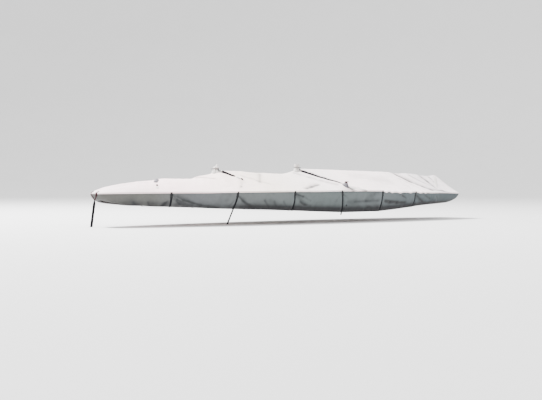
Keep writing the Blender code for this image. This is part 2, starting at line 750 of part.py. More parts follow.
def make_forward_trim(surfaces, collection):
    x = FORE_PEAK_X
    neck = boot(
        "forward_boot", x, 0, FORWARD_BOOT, (0.07, 6), "white_patch", surfaces, collection
    )
    tails = (x - 0.150, -0.010, 0.586)
    neck_tie("forward_tie", neck, x, 0.588, tails, "dark_cord", collection)
    ear = []
    for z, half, lean in FORWARD_EAR:
        ear.append([Vector((x + lean + 0.004 * abs(c), c * half, z)) for c in (1, 0, -1)])
    loft("forward_ear", ear, "white_patch", collection, 0.0030, outward=True)
    closure = strip_places((-2.307, -0.124), (-2.095, -0.424), 0.064, 0.036)
    patch(
        "forward_closure", closure, "dark_grip_tape", surfaces, collection, arch=(0.046, 0.032)
    )
    tab = strip_places((-2.079, -0.447), (-2.016, -0.536), 0.085, 0.070, 0.03)
    patch("forward_tab", tab, "white_patch", surfaces, collection, arch=(0.014, 0.014))
    toggle = strip_places((-1.994, -0.530), (-1.948, -0.560), 0.050, 0.036, 0.03)
    patch("forward_toggle", toggle, "dark_grip_tape", surfaces, collection, arch=(0.020, 0.020))


def make_stay_trim(surfaces, collection):
    slit = strip_places((-4.135, -0.050), (-4.290, -0.265), 0.125, 0.095, 0.04)
    patch("forestay_patch", slit, "grey_boot", surfaces, collection, arch=(0.038, 0.030))
    toggle = strip_places((-4.345, -0.428), (-4.368, -0.474), 0.050, 0.040, 0.03)
    patch("forestay_toggle", toggle, "dark_grip_tape", surfaces, collection, arch=(0.020, 0.020))
    tab = strip_places((-4.382, -0.500), (-4.425, -0.585), 0.070, 0.055, 0.03)
    patch("forestay_tab", tab, "white_patch", surfaces, collection)
    flap = strip_places((5.390, -0.075), (4.900, -0.640), 0.085, 0.070, 0.06)
    patch("backstay_flap", flap, "white_patch", surfaces, collection)


# ---------------------------------------------------------------- straps on the sides
# Half outline of a buckle, top to bottom: half width and place along the strap.
BUCKLE_OUTLINE = (
    (0.025, -0.052),
    (0.031, -0.046),
    (0.031, -0.012),
    (0.025, 0.000),
    (0.025, 0.010),
    (0.031, 0.020),
    (0.031, 0.046),
    (0.025, 0.052),
)


class StrapPlace:
    """Where a strap crosses the sheer: the point, the way out and the way aft."""

    def __init__(self, rows, x, side, slant=0.0):
        self.slant = slant
        for ahead, behind in zip(rows, rows[1:]):
            if ahead.x <= x < behind.x:
                break
        share = (x - ahead.x) / (behind.x - ahead.x)
        self.side = side
        self.foot = ahead.sheer(side).lerp(behind.sheer(side), share)
        along = behind.sheer(side) - ahead.sheer(side)
        self.aft = Vector((along.x, along.y, 0)).normalized()
        self.out = Vector((self.aft.y, -self.aft.x, 0)) * -side
        self.hem_z = ahead.hem[2] + (behind.hem[2] - ahead.hem[2]) * share

    def across(self, surfaces, z):
        """The points at both edges of the strap that lie on the cloth at height z."""
        down = (self.foot.z - z) / (self.foot.z - self.hem_z)
        row = []
        for share in (0.5, -0.5):
            foot = self.foot + self.aft * (WEBBING * share + self.slant * down)
            row.append(surfaces.side(foot, self.out, z) + self.out * STRAP_LIFT)
        return row

    def hem_height(self, surfaces):
        """The height at which the side cloth ends below this place."""
        z = self.hem_z + 0.04
        foot = self.foot + self.aft * self.slant
        while self.is_on_side(surfaces.side(foot, self.out, z - 0.001)):
            z -= 0.001
        return z

    def is_on_side(self, point):
        return point is not None and point.y * self.side > 0

    def fall(self, surfaces):
        """Rows of points from the sheer down the side and round the hem's edge."""
        def short_by(point):
            cloth = surfaces.side(point, self.out, point.z)
            if not self.is_on_side(cloth):
                return 0.0
            return (cloth - point).dot(self.out) + STRAP_LIFT

        top = self.foot.z
        hem = self.hem_height(surfaces)
        heights = [top - 0.005, top - VALANCE + 0.001, top - VALANCE - 0.012]
        count = 6
        step = (heights[-1] - hem - 0.012) / count
        heights += [heights[-1] - step * (n + 1) for n in range(count)]
        rows = [self.across(surfaces, z) for z in heights]
        low = hem - STRAP_LIFT - 0.0025
        rows.append([Vector((p.x, p.y, low)) for p in rows[-1]])
        return settle(rows, short_by, self.out)


def belly_strap(number, x, rows, surfaces, collection):
    """A strap that is sewn on at both sheers and passes under the hull."""
    port = StrapPlace(rows, x, PORT)
    starboard = StrapPlace(rows, x, STARBOARD)
    down = port.fall(surfaces)
    up = list(reversed(starboard.fall(surfaces)))
    left = down[-1][0].lerp(down[-1][1], 0.5)
    right = up[0][0].lerp(up[0][1], 0.5)
    under = []
    for share in (0.04, 0.14, 0.30, 0.50, 0.70, 0.86, 0.96):
        middle = left.lerp(right, share)
        q = 2 * share - 1
        middle.z -= BELLY_DROP * fade(0.0, 0.1, 1 - abs(q)) + BELLY_SAG * (1 - q * q)
        under.append([middle + Vector((WEBBING * s, 0, 0)) for s in (0.5, -0.5)])
    name = f"belly_strap_{number}"
    rows = down + under + up
    return loft(name, rows, "dark_webbing", collection, WEBBING_THICK, outward=True)


def tie_strap(number, x, slant, lower_end, side, rows, surfaces, collection):
    """A strap with a plain sewn end: tied down on port, short under the hem opposite."""
    fall = StrapPlace(rows, x, side, slant).fall(surfaces)
    aft, fore = fall[-1]
    if side == PORT:
        shift = Vector(lower_end) - aft.lerp(fore, 0.5)
    else:
        shift = Vector((0, -side * STRAP_TAIL, -0.004))
    for share in (0.25, 0.5, 0.75, 1.0):
        fall.append([aft + shift * share, fore + shift * share])
    if side == STARBOARD:
        fall.reverse()
    name = f"tie_strap_{number}_{SIDE_NAMES[side]}"
    return loft(name, fall, "dark_webbing", collection, WEBBING_THICK, outward=True)


def buckle(number, x, slant, side, strap, rows, collection):
    """A side-release buckle seated on its strap just below the turned-down edge."""
    place = StrapPlace(rows, x, side, slant)
    webbing = Surfaces([strap])
    lean = slant / (place.foot.z - place.hem_z)
    seats = []
    for along in (-0.052, -0.044, -0.034, -0.017, 0.0, 0.017, 0.034, 0.052):
        for share in (0, -0.48, -0.24, 0.24, 0.48):
            aft = WEBBING * share + lean * (BUCKLE_DROP + along)
            foot = place.foot + place.aft * aft
            seats.append(webbing.side(foot, place.out, place.foot.z - BUCKLE_DROP - along))
    upper, lower = seats[0], seats[-5]
    down = (lower - upper).normalized()
    out = down.cross(place.aft * -side).normalized()
    width = out.cross(down)
    proud = max((seat - upper).dot(out) for seat in seats)
    middle = upper.lerp(lower, 0.5) + out * (proud + BUCKLE_LIFT + BUCKLE_THICK / 2)
    name = f"buckle_{number}_{SIDE_NAMES[side]}"
    curve = bpy.data.curves.new(name, "CURVE")
    curve.dimensions = "2D"
    curve.fill_mode = "BOTH"
    curve.extrude = BUCKLE_THICK / 2
    outline = list(BUCKLE_OUTLINE) + [(-half, along) for half, along in reversed(BUCKLE_OUTLINE)]
    spline = curve.splines.new("POLY")
    spline.points.add(len(outline) - 1)
    spline.use_cyclic_u = True
    for point, (half, along) in zip(spline.points, outline):
        point.co = (half, along, 0, 1)
    curve.materials.append(material("black_plastic"))
    made = bpy.data.objects.new(name, curve)
    collection.objects.link(made)
    turn = Matrix((width, down, out)).transposed().to_4x4()
    made.matrix_world = Matrix.Translation(middle) @ turn


def make_side_trim(rows, surfaces, collection):
    for number, (x, slant, lower_end) in enumerate(STRAPS, start=1):
        if lower_end is None:
            strap = belly_strap(number, x, rows, surfaces, collection)
        for side in SIDE_NAMES:
            if lower_end is not None:
                strap = tie_strap(
                    number, x, slant, lower_end, side, rows, surfaces, collection
                )
            buckle(number, x, slant, side, strap, rows, collection)


def make_bow_trim(surfaces, collection):
    """The webbing bridle over the stem and the strap that holds the bow down."""
    half, reach, joint = 0.027, 0.137, Vector((-5.745, 0, -0.165))
    leg = []
    for shift in (-1, 1):
        y = PORT * (reach + half * shift)
        edge = surfaces.first(Vector((-7, y, -0.012)), Vector((1, 0, 0))).x
        line = [Vector((x, y, surfaces.top(x, y) + PATCH_LIFT)) for x in
                (-5.710, -5.735, edge + 0.010)]
        line += [Vector((edge - 0.003, y, 0.008)), Vector((edge - 0.003, y, -0.030))]
        leg.append(line)
    rows = settle_on_top([[outer, inner] for inner, outer in zip(*leg)], surfaces)
    mirrored = [[Vector((p.x, -p.y, p.z)) for p in row] for row in reversed(rows)]
    rows += [[joint - Vector((0, 0, 0.042)), joint + Vector((0, 0, 0.007))]] + mirrored
    loft("bow_bridle", rows, "red_webbing", collection, WEBBING_THICK, outward=True)
    fall = []
    top, low = Vector((-5.7516, 0, -0.166)), Vector((-5.8400, 0, -0.790))
    for n in range(9):
        turn = BOW_STRAP_TURN * fade(0.05, 0.40, n / 8)
        middle, aside = top.lerp(low, n / 8), Vector((-math.sin(turn), math.cos(turn), 0))
        fall.append([middle + aside * BOW_STRAP_HALF * s for s in (-1, 1)])
    loft("bow_strap", fall, "dark_webbing", collection, WEBBING_THICK, outward=True)


def make_side_patch(surfaces, collection):
    """A small round patch low on the port side."""
    spot = surfaces.side(Vector((0.880, -1.3, 0)), Vector((0, -1, 0)), -0.352)
    rings = []
    for radius in (0.022, 0.0):
        ring = []
        for n in range(10):
            angle = 2 * math.pi * n / 10
            x, z = spot.x + radius * math.cos(angle), spot.z + radius * math.sin(angle)
            hit = surfaces.side(Vector((x, -1.3, 0)), Vector((0, -1, 0)), z)
            ring.append(hit + Vector((0, -PATCH_LIFT, 0)))
        rings.append(ring)
    loft("side_patch", rings, "black_plastic", collection, PATCH_THICK, outward=True, closed=True)


def build():
    clear_scene()
    parts = new_collection("boat_cover")
    cutters = new_collection("cutters")
    places, seam = section_rows()
    rows = [Section(place) for place in places]
    forward = make_top("top_forward", rows[: seam + 1], False, parts)
    aft = make_top("top_aft", rows[seam:], True, parts)
    port = make_side(rows, PORT, parts)
    starboard = make_side(rows, STARBOARD, parts)
    surfaces = Surfaces([forward, aft, port, starboard])
    make_mast_trim(surfaces, parts)
    make_forward_trim(surfaces, parts)
    make_stay_trim(surfaces, parts)
    make_side_trim(rows, surfaces, parts)
    make_bow_trim(surfaces, parts)
    make_side_patch(surfaces, parts)
    for sheet in (forward, aft):
        cut_round_hole(sheet, MAST_X, 0, MAST_HOLE, cutters)
        for side in SIDE_NAMES:
            cut_round_hole(sheet, SHROUD_X, side * SHROUD_HALF, STAY_HOLE, cutters)
    cut_round_hole(forward, FORESTAY_X, 0, STAY_HOLE, cutters)
    cut_round_hole(aft, BACKSTAY_X, 0, STAY_HOLE, cutters)


build()
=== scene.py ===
"""Looks of a fitted cover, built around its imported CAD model.

X runs from bow (-X) to stern (+X), Y across (port is -Y) and Z up, all in metres.
The cloth is one smooth surface through a table of sections, with folds, gathers and
puckers added to it; straps, boots and patches are then laid on that surface.
"""

import math

import bmesh
import bpy
import numpy as np
from bpy.props import FloatProperty, FloatVectorProperty, PointerProperty
from mathutils import Matrix, Vector
from mathutils.bvhtree import BVHTree


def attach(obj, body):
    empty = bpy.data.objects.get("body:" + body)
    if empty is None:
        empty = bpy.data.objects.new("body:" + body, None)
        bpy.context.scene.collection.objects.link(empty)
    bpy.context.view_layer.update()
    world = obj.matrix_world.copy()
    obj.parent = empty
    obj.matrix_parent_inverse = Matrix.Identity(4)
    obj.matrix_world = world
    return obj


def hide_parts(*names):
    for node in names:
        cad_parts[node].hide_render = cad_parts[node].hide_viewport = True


bl_info = {
    "name": "Boat cover",
    "version": (1, 0, 0),
    "blender": (4, 5, 0),
    "location": "View3D > Sidebar > Boat cover",
    "description": "Builds the cloth, straps and fittings of a fitted boat cover",
    "category": "Object",
}

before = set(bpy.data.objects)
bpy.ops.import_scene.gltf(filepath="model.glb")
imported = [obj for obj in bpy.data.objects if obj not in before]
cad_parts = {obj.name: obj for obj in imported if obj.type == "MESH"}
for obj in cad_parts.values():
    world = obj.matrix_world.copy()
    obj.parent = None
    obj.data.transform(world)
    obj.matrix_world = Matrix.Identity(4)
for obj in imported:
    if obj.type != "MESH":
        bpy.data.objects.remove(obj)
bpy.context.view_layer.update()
PORT, STARBOARD = -1, 1
SIDE_NAMES = {PORT: "port", STARBOARD: "starboard"}

# ---------------------------------------------------------------- shape of the cloth
MAST_X = 0.195
MAST_HOLE = 0.078
FORE_PEAK_X = -2.390
FORESTAY_X = -4.030
BACKSTAY_X = 5.420
STAY_HOLE = 0.012
SHROUD_X = 0.910
SHROUD_HALF = 1.150
VALANCE = 0.030          # turned-down edge of the top cloth
SKIRT_START = 0.006      # how far below the sheer the side cloth begins
SEAM_GAP = 0.0006
PANEL_GAP = 0.0020       # opening between the two panels of the top cloth
CENTRE_GAP = 0.0010
LIP = 0.085              # width of the hem that turns in underneath
LIP_RISE = 0.012
TENT_POWER = 1.16        # sag of the top cloth between ridge and sheer, 1 is straight
RIDGE_ROUND = 0.014      # how softly the cloth turns over the ridge, as a share of the beam
SEAM_SECTION = 12        # the section that the opening between the two top panels follows
HEM_STERN_X = 5.440
TOP_HALF_GIRTH = 1.31    # widest run of the top cloth from the ridge to the sheer
SIDE_HEIGHT = 0.50
STERN_HALF = 0.75        # half width of the stern
LIP_PLACES = (0.03, 0.12, 0.40, 0.70, 1.00)   # rows of the turned-in hem, as shares of LIP
STRAP_PRESS = 0.006      # how far a strap presses into the side, and the side swells by it

# ---------------------------------------------------------------- painted shade on the cloth
HOLLOW_DEPTH = 0.016     # a soft hollow this deep takes all the painted shade that hollows take
CREASE_DEPTH = 0.014     # a crease this deep is as dark as the painted shade makes it
BULGE_UNSHADED = -0.3       # painted shade that a bulge takes away, as a share of what a hollow takes
# Painted shade in soft hollows, on the top and on the sides.
TOP_HOLLOW_SHADE, SIDE_HOLLOW_SHADE = 0.24, 0.45
TOP_CREASE_SPREAD, SIDE_CREASE_SPREAD = 1.25, 1.35   # width of the painted shade over its crease's
# The darkest that each painted shade and painted shadow may reach.
CREASE_DARKEST, TOP_DARKEST, SIDE_DARKEST, SHADOW_TONE_DARKEST = 0.88, 0.90, 0.95, 0.93
# Painted shadow under the top's turned-down edge, and painted shade on the turned-in hem.
SEAM_SHADOW, LIP_SHADOW = 0.45, 0.80

# Bow to stern corner: the sheer, the hem and the place on the ridge of each section.
SECTION_COLUMNS = ("sheer_x", "sheer_half", "sheer_z", "hem_x", "hem_half", "hem_z", "centre_x")
SECTIONS = (
    (-5.790, 0.000, 0.004, -5.670, 0.000, -0.168, -5.790),
    (-5.775, 0.140, 0.004, -5.655, 0.110, -0.172, -5.775),
    (-5.735, 0.270, 0.005, -5.612, 0.210, -0.188, -5.735),
    (-5.620, 0.380, 0.006, -5.515, 0.300, -0.218, -5.620),
    (-5.400, 0.470, 0.009, -5.340, 0.375, -0.250, -5.395),
    (-5.000, 0.590, 0.012, -4.960, 0.475, -0.288, -4.985),
    (-4.500, 0.715, 0.016, -4.475, 0.590, -0.325, -4.470),
    (-4.000, 0.825, 0.018, -3.985, 0.695, -0.336, -3.950),
    (-3.000, 1.000, 0.024, -2.990, 0.860, -0.386, -2.950),
    (-2.000, 1.135, 0.030, -1.995, 0.985, -0.418, -1.980),
    (-1.000, 1.230, 0.038, -1.000, 1.075, -0.454, -1.130),
    (0.000, 1.280, 0.043, 0.000, 1.120, -0.499, -0.520),
    (1.000, 1.295, 0.047, 1.000, 1.135, -0.531, MAST_X),
    (2.000, 1.275, 0.042, 1.990, 1.110, -0.524, 1.550),
    (3.000, 1.205, 0.021, 2.960, 1.030, -0.469, 2.740),
    (4.000, 1.090, -0.002, 3.930, 0.915, -0.389, 3.800),
    (5.000, 0.930, -0.022, 4.820, 0.750, -0.346, 4.780),
    (5.550, 0.825, -0.036, 5.250, 0.650, -0.326, 5.310),
    (5.655, 0.795, -0.040, 5.335, 0.612, -0.318, 5.470),
    (5.725, 0.750, -0.042, 5.385, 0.570, -0.310, 5.790),
)

# The ridge, bow to stern: its height, and how round the section is, 1 for an even crown
# and 0 for cloth stretched from a peak.
RIDGE_COLUMNS = ("x", "height", "crown")
RIDGE = (
    (-5.790, 0.004, 1.00),
    (-5.700, 0.050, 1.00),
    (-5.520, 0.112, 1.00),
    (-5.230, 0.174, 1.00),
    (-4.930, 0.228, 0.95),
    (-4.520, 0.273, 0.90),
    (-4.200, 0.294, 0.85),
    (-4.020, 0.326, 0.75),
    (-3.680, 0.332, 0.70),
    (-3.130, 0.338, 0.60),
    (-2.950, 0.395, 0.45),
    (-2.720, 0.428, 0.30),
    (-2.550, 0.466, 0.20),
    (-2.390, 0.546, 0.10),
    (-2.110, 0.541, 0.12),
    (-1.640, 0.537, 0.18),
    (-1.490, 0.520, 0.22),
    (-1.340, 0.507, 0.25),
    (-1.020, 0.500, 0.25),
    (-0.420, 0.480, 0.25),
    (-0.150, 0.504, 0.18),
    (0.030, 0.545, 0.10),
    (0.195, 0.590, 0.05),
    (0.500, 0.612, 0.08),
    (1.010, 0.608, 0.12),
    (1.910, 0.590, 0.15),
    (2.860, 0.570, 0.12),
    (3.760, 0.548, 0.08),
    (4.730, 0.492, 0.05),
    (5.120, 0.450, 0.05),
    (5.310, 0.468, 0.03),
    (5.470, 0.478, 0.00),
    (5.620, 0.255, 0.00),
    (5.790, -0.042, 0.00),
)

# Folds in the top cloth: from x, y to x, y in plan, half width, height at either end (a
# trough is negative) and how crisp the fold is, from 0 for soft to 1 for a crease.
TOP_FOLDS = (
    (0.195, 0.00, 0.910, -1.15, 0.20, 0.000, 0.105, 0.0),
    (0.195, 0.00, 0.910, 1.15, 0.20, 0.000, 0.105, 0.0),
    (-2.390, 0.00, -2.050, -0.50, 0.14, 0.000, 0.030, 0.0),
    (-2.050, -0.50, -2.400, -1.05, 0.10, 0.022, 0.006, 0.0),
    (-2.390, 0.00, -2.420, 0.90, 0.15, 0.000, 0.016, 0.0),
    (-0.380, -1.12, 0.200, -0.84, 0.09, -0.012, -0.018, 0.0),
    (-1.095, -0.10, -1.500, -0.68, 0.10, -0.014, -0.006, 0.0),
    (-0.300, 0.10, 0.050, 0.75, 0.14, -0.010, -0.014, 0.0),
    (3.740, -0.02, 4.000, -0.42, 0.10, -0.026, -0.028, 0.0),
    (4.000, -0.42, 4.460, -0.84, 0.10, -0.026, -0.014, 0.0),
    (4.460, -0.84, 5.080, -0.85, 0.07, -0.010, -0.014, 0.0),
    (4.810, -0.02, 4.790, -0.68, 0.08, -0.022, -0.014, 0.0),
    (4.520, -0.20, 4.620, -0.60, 0.12, 0.014, 0.008, 0.0),
    (3.950, 0.02, 4.350, 0.45, 0.12, -0.020, -0.022, 0.0),
    (4.350, 0.45, 4.900, 0.72, 0.11, -0.014, -0.010, 0.0),
    (-3.900, 0.00, -3.200, -0.62, 0.14, 0.010, 0.006, 0.0),
    (-5.250, -0.10, -4.500, -0.18, 0.12, -0.008, -0.012, 0.0),
    (1.900, -0.35, 3.000, -0.55, 0.22, -0.010, -0.016, 0.0),
    (1.700, 0.40, 2.900, 0.62, 0.22, -0.012, -0.010, 0.0),
)
# Creases too narrow for the solids, in the same columns.
TOP_CREASES = (
    (3.740, -0.04, 4.000, -0.42, 0.036, -0.022, -0.022, 0.7),
    (4.000, -0.42, 4.231, -0.68, 0.036, -0.020, -0.018, 0.7),
    (4.231, -0.68, 4.460, -0.84, 0.034, -0.018, -0.016, 0.7),
    (4.460, -0.84, 4.960, -0.82, 0.028, -0.010, -0.014, 0.7),
    (4.960, -0.82, 5.100, -0.86, 0.028, -0.014, -0.010, 0.7),
    (4.810, -0.06, 4.825, -0.33, 0.032, -0.017, -0.017, 0.7),
    (4.825, -0.33, 4.785, -0.69, 0.032, -0.016, -0.008, 0.7),
    (4.300, -0.10, 4.620, -0.62, 0.032, -0.012, -0.008, 0.6),
    (3.650, -0.35, 3.950, -0.80, 0.035, -0.005, -0.003, 0.5),
    (-0.380, -1.12, -0.080, -0.99, 0.032, -0.014, -0.017, 0.7),
    (-0.080, -0.99, 0.264, -0.84, 0.032, -0.017, -0.011, 0.7),
    (-0.560, -1.10, -0.150, -0.92, 0.030, 0.006, 0.004, 0.4),
    (-1.095, -0.10, -1.516, -0.68, 0.028, -0.007, -0.005, 0.5),
    (-2.051, -0.66, -2.200, -0.84, 0.026, -0.006, -0.007, 0.7),
    (-2.200, -0.84, -2.360, -0.99, 0.026, -0.007, -0.004, 0.7),
    (-2.330, -0.12, -2.090, -0.46, 0.040, 0.008, 0.012, 0.3),
    (-1.800, -0.30, -1.300, -0.80, 0.045, -0.005, -0.004, 0.3),
    (-3.000, -0.05, -2.620, -0.30, 0.040, -0.008, -0.006, 0.4),
    (-3.130, 0.02, -2.700, 0.35, 0.040, -0.008, -0.006, 0.4),
    (1.080, -1.02, 1.440, -1.11, 0.040, -0.010, -0.006, 0.5),
    (0.960, -1.19, 1.110, -1.28, 0.060, -0.022, -0.016, 0.2),
    (1.420, -1.25, 1.520, -1.28, 0.040, -0.018, -0.010, 0.3),
    (1.100, -1.20, 1.640, -1.27, 0.030, 0.008, 0.004, 0.4),
    (0.420, -0.10, 1.050, -0.90, 0.050, -0.006, -0.010, 0.3),
    (0.420, 0.10, 1.050, 0.90, 0.050, -0.006, -0.010, 0.3),
    (0.050, -0.10, 0.720, -1.05, 0.045, -0.006, -0.010, 0.3),
    (0.050, 0.10, 0.720, 1.05, 0.045, -0.006, -0.010, 0.3),
    (3.950, 0.02, 4.350, 0.45, 0.030, -0.012, -0.014, 0.7),
    (4.350, 0.45, 4.900, 0.72, 0.028, -0.010, -0.008, 0.7),
    (-0.300, 0.10, 0.050, 0.75, 0.030, -0.006, -0.008, 0.6),
    (5.160, -0.06, 5.080, -0.50, 0.030, -0.010, -0.004, 0.5),
    (5.160, 0.06, 5.100, 0.50, 0.030, -0.010, -0.004, 0.5),
)

# Gathers that run out from where the cloth is drawn together: the place, the number of
# folds round it, their height close in, how far they run and the radius they start at.
GATHERS = (
    (-5.790, 0.000, 26, 0.0050, 0.42, 0.04),
    (MAST_X, 0.000, 17, 0.0060, 0.34, 0.09),
    (FORE_PEAK_X, 0.000, 19, 0.0060, 0.34, 0.10),
    (SHROUD_X, -SHROUD_HALF, 13, 0.0050, 0.22, 0.06),
    (SHROUD_X, SHROUD_HALF, 13, 0.0050, 0.22, 0.06),
    (FORESTAY_X, 0.000, 11, 0.0035, 0.25, 0.03),
    (BACKSTAY_X, 0.000, 13, 0.0050, 0.40, 0.04),
)
GATHER_WAVES = ((1.0, 0.6), (0.62, 0.5), (1.45, 0.3))   # share of the folds, and weight

# Dips in the sheer where the top cloth hangs slack between two straps: X, side, half
# width and depth.
SCALLOPS = (
    (2.680, PORT, 0.26, 0.022),
    (3.120, PORT, 0.16, 0.014),
    (4.250, PORT, 0.30, 0.014),
    (2.290, PORT, 0.07, 0.030),
    (2.520, PORT, 0.06, 0.022),
    (2.860, PORT, 0.08, 0.026),
    (3.290, PORT, 0.07, 0.026),
    (3.720, PORT, 0.10, 0.026),
    (3.960, PORT, 0.06, 0.018),
    (1.150, PORT, 0.05, 0.006),
    (-0.100, PORT, 0.40, 0.006),
    (-3.300, PORT, 0.45, 0.006),
    (2.900, STARBOARD, 0.30, 0.018),
    (4.300, STARBOARD, 0.30, 0.012),
    (-1.600, STARBOARD, 0.45, 0.008),
)

# How the side falls from the sheer (0) to the hem (1) and how far in it has come.
SIDE_COLUMNS = ("drop", "inset")
SIDE = (
    (0.00, 0.00),
    (0.25, 0.08),
    (0.50, 0.22),
    (0.74, 0.47),
    (0.91, 0.77),
    (1.00, 1.00),
)

# Folds in the side cloth: from and to a place given by X and by how far down the side it
# is, the half width, the outward height, the side and how crisp the fold is.
SIDE_FOLDS = (
    (-4.120, 0.30, -3.780, 0.72, 0.060, 0.020, PORT, 0.0),
    (-3.780, 0.72, -3.300, 1.00, 0.060, 0.018, PORT, 0.0),
    (-4.000, 0.22, -3.650, 0.60, 0.050, -0.016, PORT, 0.0),
    (-4.250, 0.60, -4.420, 0.98, 0.060, -0.016, PORT, 0.0),
    (-5.080, 0.50, -4.780, 0.96, 0.065, -0.016, PORT, 0.0),
    (-4.880, 0.45, -4.620, 0.92, 0.050, 0.014, PORT, 0.0),
    (-2.400, 0.35, -2.100, 0.95, 0.060, -0.018, PORT, 0.0),
    (-2.480, 0.45, -2.750, 0.98, 0.070, 0.014, PORT, 0.0),
    (-1.550, 0.55, -1.250, 0.98, 0.080, -0.012, PORT, 0.0),
    (-0.780, 0.25, -0.480, 0.85, 0.060, -0.016, PORT, 0.0),
    (-0.860, 0.55, -1.060, 0.98, 0.060, 0.012, PORT, 0.0),
    (0.760, 0.72, 2.000, 0.66, 0.060, -0.014, PORT, 0.0),
    (1.950, 0.15, 1.550, 0.50, 0.070, -0.010, PORT, 0.0),
    (2.280, 0.68, 3.080, 0.74, 0.060, -0.014, PORT, 0.0),
    (2.300, 0.52, 3.150, 0.56, 0.060, 0.014, PORT, 0.0),
    (3.600, 0.40, 3.950, 0.92, 0.080, -0.014, PORT, 0.0),
    (4.400, 0.45, 4.700, 0.90, 0.080, 0.014, PORT, 0.0),
    (-4.120, 0.30, -3.650, 0.90, 0.060, 0.018, STARBOARD, 0.0),
    (-2.420, 0.35, -2.050, 0.95, 0.070, -0.016, STARBOARD, 0.0),
    (-0.800, 0.30, -0.300, 0.95, 0.070, 0.014, STARBOARD, 0.0),
    (0.750, 0.40, 1.250, 0.95, 0.070, -0.016, STARBOARD, 0.0),
    (2.200, 0.35, 2.900, 0.80, 0.070, -0.018, STARBOARD, 0.0),
    (3.550, 0.35, 4.100, 0.90, 0.070, 0.014, STARBOARD, 0.0),
    (-5.200, 0.45, -4.750, 0.90, 0.060, -0.014, STARBOARD, 0.0),
)
SIDE_CREASES = (
    (-4.140, 0.12, -4.020, 0.42, 0.022, -0.012, PORT, 0.6),
    (-4.020, 0.42, -3.807, 0.66, 0.024, -0.015, PORT, 0.6),
    (-3.807, 0.66, -3.403, 0.90, 0.026, -0.018, PORT, 0.6),
    (-3.403, 0.90, -3.150, 0.97, 0.024, -0.014, PORT, 0.6),
    (-4.100, 0.40, -3.940, 0.66, 0.020, -0.009, PORT, 0.6),
    (-3.940, 0.66, -3.620, 0.93, 0.022, -0.012, PORT, 0.6),
    (-4.060, 0.20, -3.850, 0.46, 0.020, -0.008, PORT, 0.5),
    (-3.850, 0.46, -3.400, 0.76, 0.022, -0.012, PORT, 0.5),
    (-3.400, 0.76, -2.900, 0.93, 0.024, -0.013, PORT, 0.5),
    (-4.240, 0.50, -4.360, 0.80, 0.022, -0.009, PORT, 0.5),
    (-4.300, 0.62, -4.420, 0.95, 0.022, -0.009, PORT, 0.5),
    (-5.030, 0.55, -4.900, 0.86, 0.022, -0.013, PORT, 0.6),
    (-4.700, 0.55, -4.620, 0.90, 0.022, -0.008, PORT, 0.5),
    (-2.430, 0.28, -2.300, 0.55, 0.018, -0.009, PORT, 0.6),
    (-2.300, 0.55, -2.110, 0.82, 0.020, -0.011, PORT, 0.6),
    (-2.110, 0.82, -1.950, 0.98, 0.024, -0.013, PORT, 0.6),
    (-2.520, 0.45, -2.660, 0.80, 0.022, -0.008, PORT, 0.5),
    (-1.700, 0.55, -1.560, 0.95, 0.026, -0.009, PORT, 0.4),
    (-1.420, 0.60, -1.330, 0.95, 0.026, -0.004, PORT, 0.4),
    (-1.150, 0.62, -1.060, 0.90, 0.024, -0.005, PORT, 0.4),
    (-0.790, 0.18, -0.571, 0.34, 0.020, -0.010, PORT, 0.6),
    (-0.571, 0.34, -0.330, 0.60, 0.022, -0.007, PORT, 0.6),
    (-0.640, 0.66, -0.500, 0.84, 0.024, -0.011, PORT, 0.6),
    (-0.500, 0.84, -0.300, 0.92, 0.024, -0.009, PORT, 0.6),
    (0.600, 0.36, 0.510, 0.66, 0.022, -0.003, PORT, 0.5),
    (0.730, 0.22, 0.900, 0.50, 0.022, -0.005, PORT, 0.5),
    (1.150, 0.72, 1.550, 0.68, 0.022, -0.004, PORT, 0.5),
    (1.550, 0.68, 1.980, 0.66, 0.022, -0.005, PORT, 0.5),
    (2.290, 0.66, 2.480, 0.71, 0.032, -0.015, PORT, 0.1),
    (2.480, 0.71, 2.760, 0.75, 0.034, -0.016, PORT, 0.1),
    (2.760, 0.75, 3.145, 0.72, 0.030, -0.011, PORT, 0.1),
    (2.950, 0.30, 3.120, 0.46, 0.022, -0.011, PORT, 0.6),
    (2.120, 0.40, 2.040, 0.66, 0.022, -0.004, PORT, 0.5),
    (3.600, 0.30, 3.860, 0.62, 0.022, -0.011, PORT, 0.6),
    (3.860, 0.62, 4.100, 0.80, 0.022, -0.009, PORT, 0.6),
    (3.950, 0.25, 4.200, 0.45, 0.020, -0.008, PORT, 0.6),
    (4.500, 0.30, 4.700, 0.80, 0.022, -0.008, PORT, 0.5),
    (4.180, 0.06, 4.200, 0.40, 0.014, 0.006, PORT, 0.6),
    (4.270, 0.06, 4.290, 0.42, 0.014, 0.006, PORT, 0.6),
    (-4.127, 0.30, -3.850, 0.62, 0.024, -0.013, STARBOARD, 0.6),
    (-3.850, 0.62, -3.450, 0.92, 0.024, -0.014, STARBOARD, 0.6),
    (-4.950, 0.50, -4.800, 0.90, 0.022, -0.010, STARBOARD, 0.5),
    (-2.400, 0.30, -2.100, 0.85, 0.024, -0.012, STARBOARD, 0.6),
    (-1.500, 0.50, -1.350, 0.95, 0.024, -0.008, STARBOARD, 0.4),
    (-0.780, 0.25, -0.350, 0.80, 0.024, -0.012, STARBOARD, 0.6),
    (0.720, 0.30, 1.000, 0.80, 0.024, -0.010, STARBOARD, 0.5),
    (2.250, 0.40, 2.850, 0.75, 0.024, -0.014, STARBOARD, 0.7),
    (3.620, 0.30, 4.000, 0.80, 0.022, -0.010, STARBOARD, 0.6),
)

# Straps, bow to stern: X at the sheer, how far aft the strap has gone at the hem, and
# where its lower end is on port if it is tied down there.
STRAPS = (
    (-4.164, 0.000, None),
    (-2.453, -0.080, (-2.631, -0.850, -0.771)),
    (-0.824, 0.000, None),
    (0.687, 0.095, (0.810, -1.090, -0.600)),
    (2.155, 0.000, None),
    (3.527, 0.000, None),
)

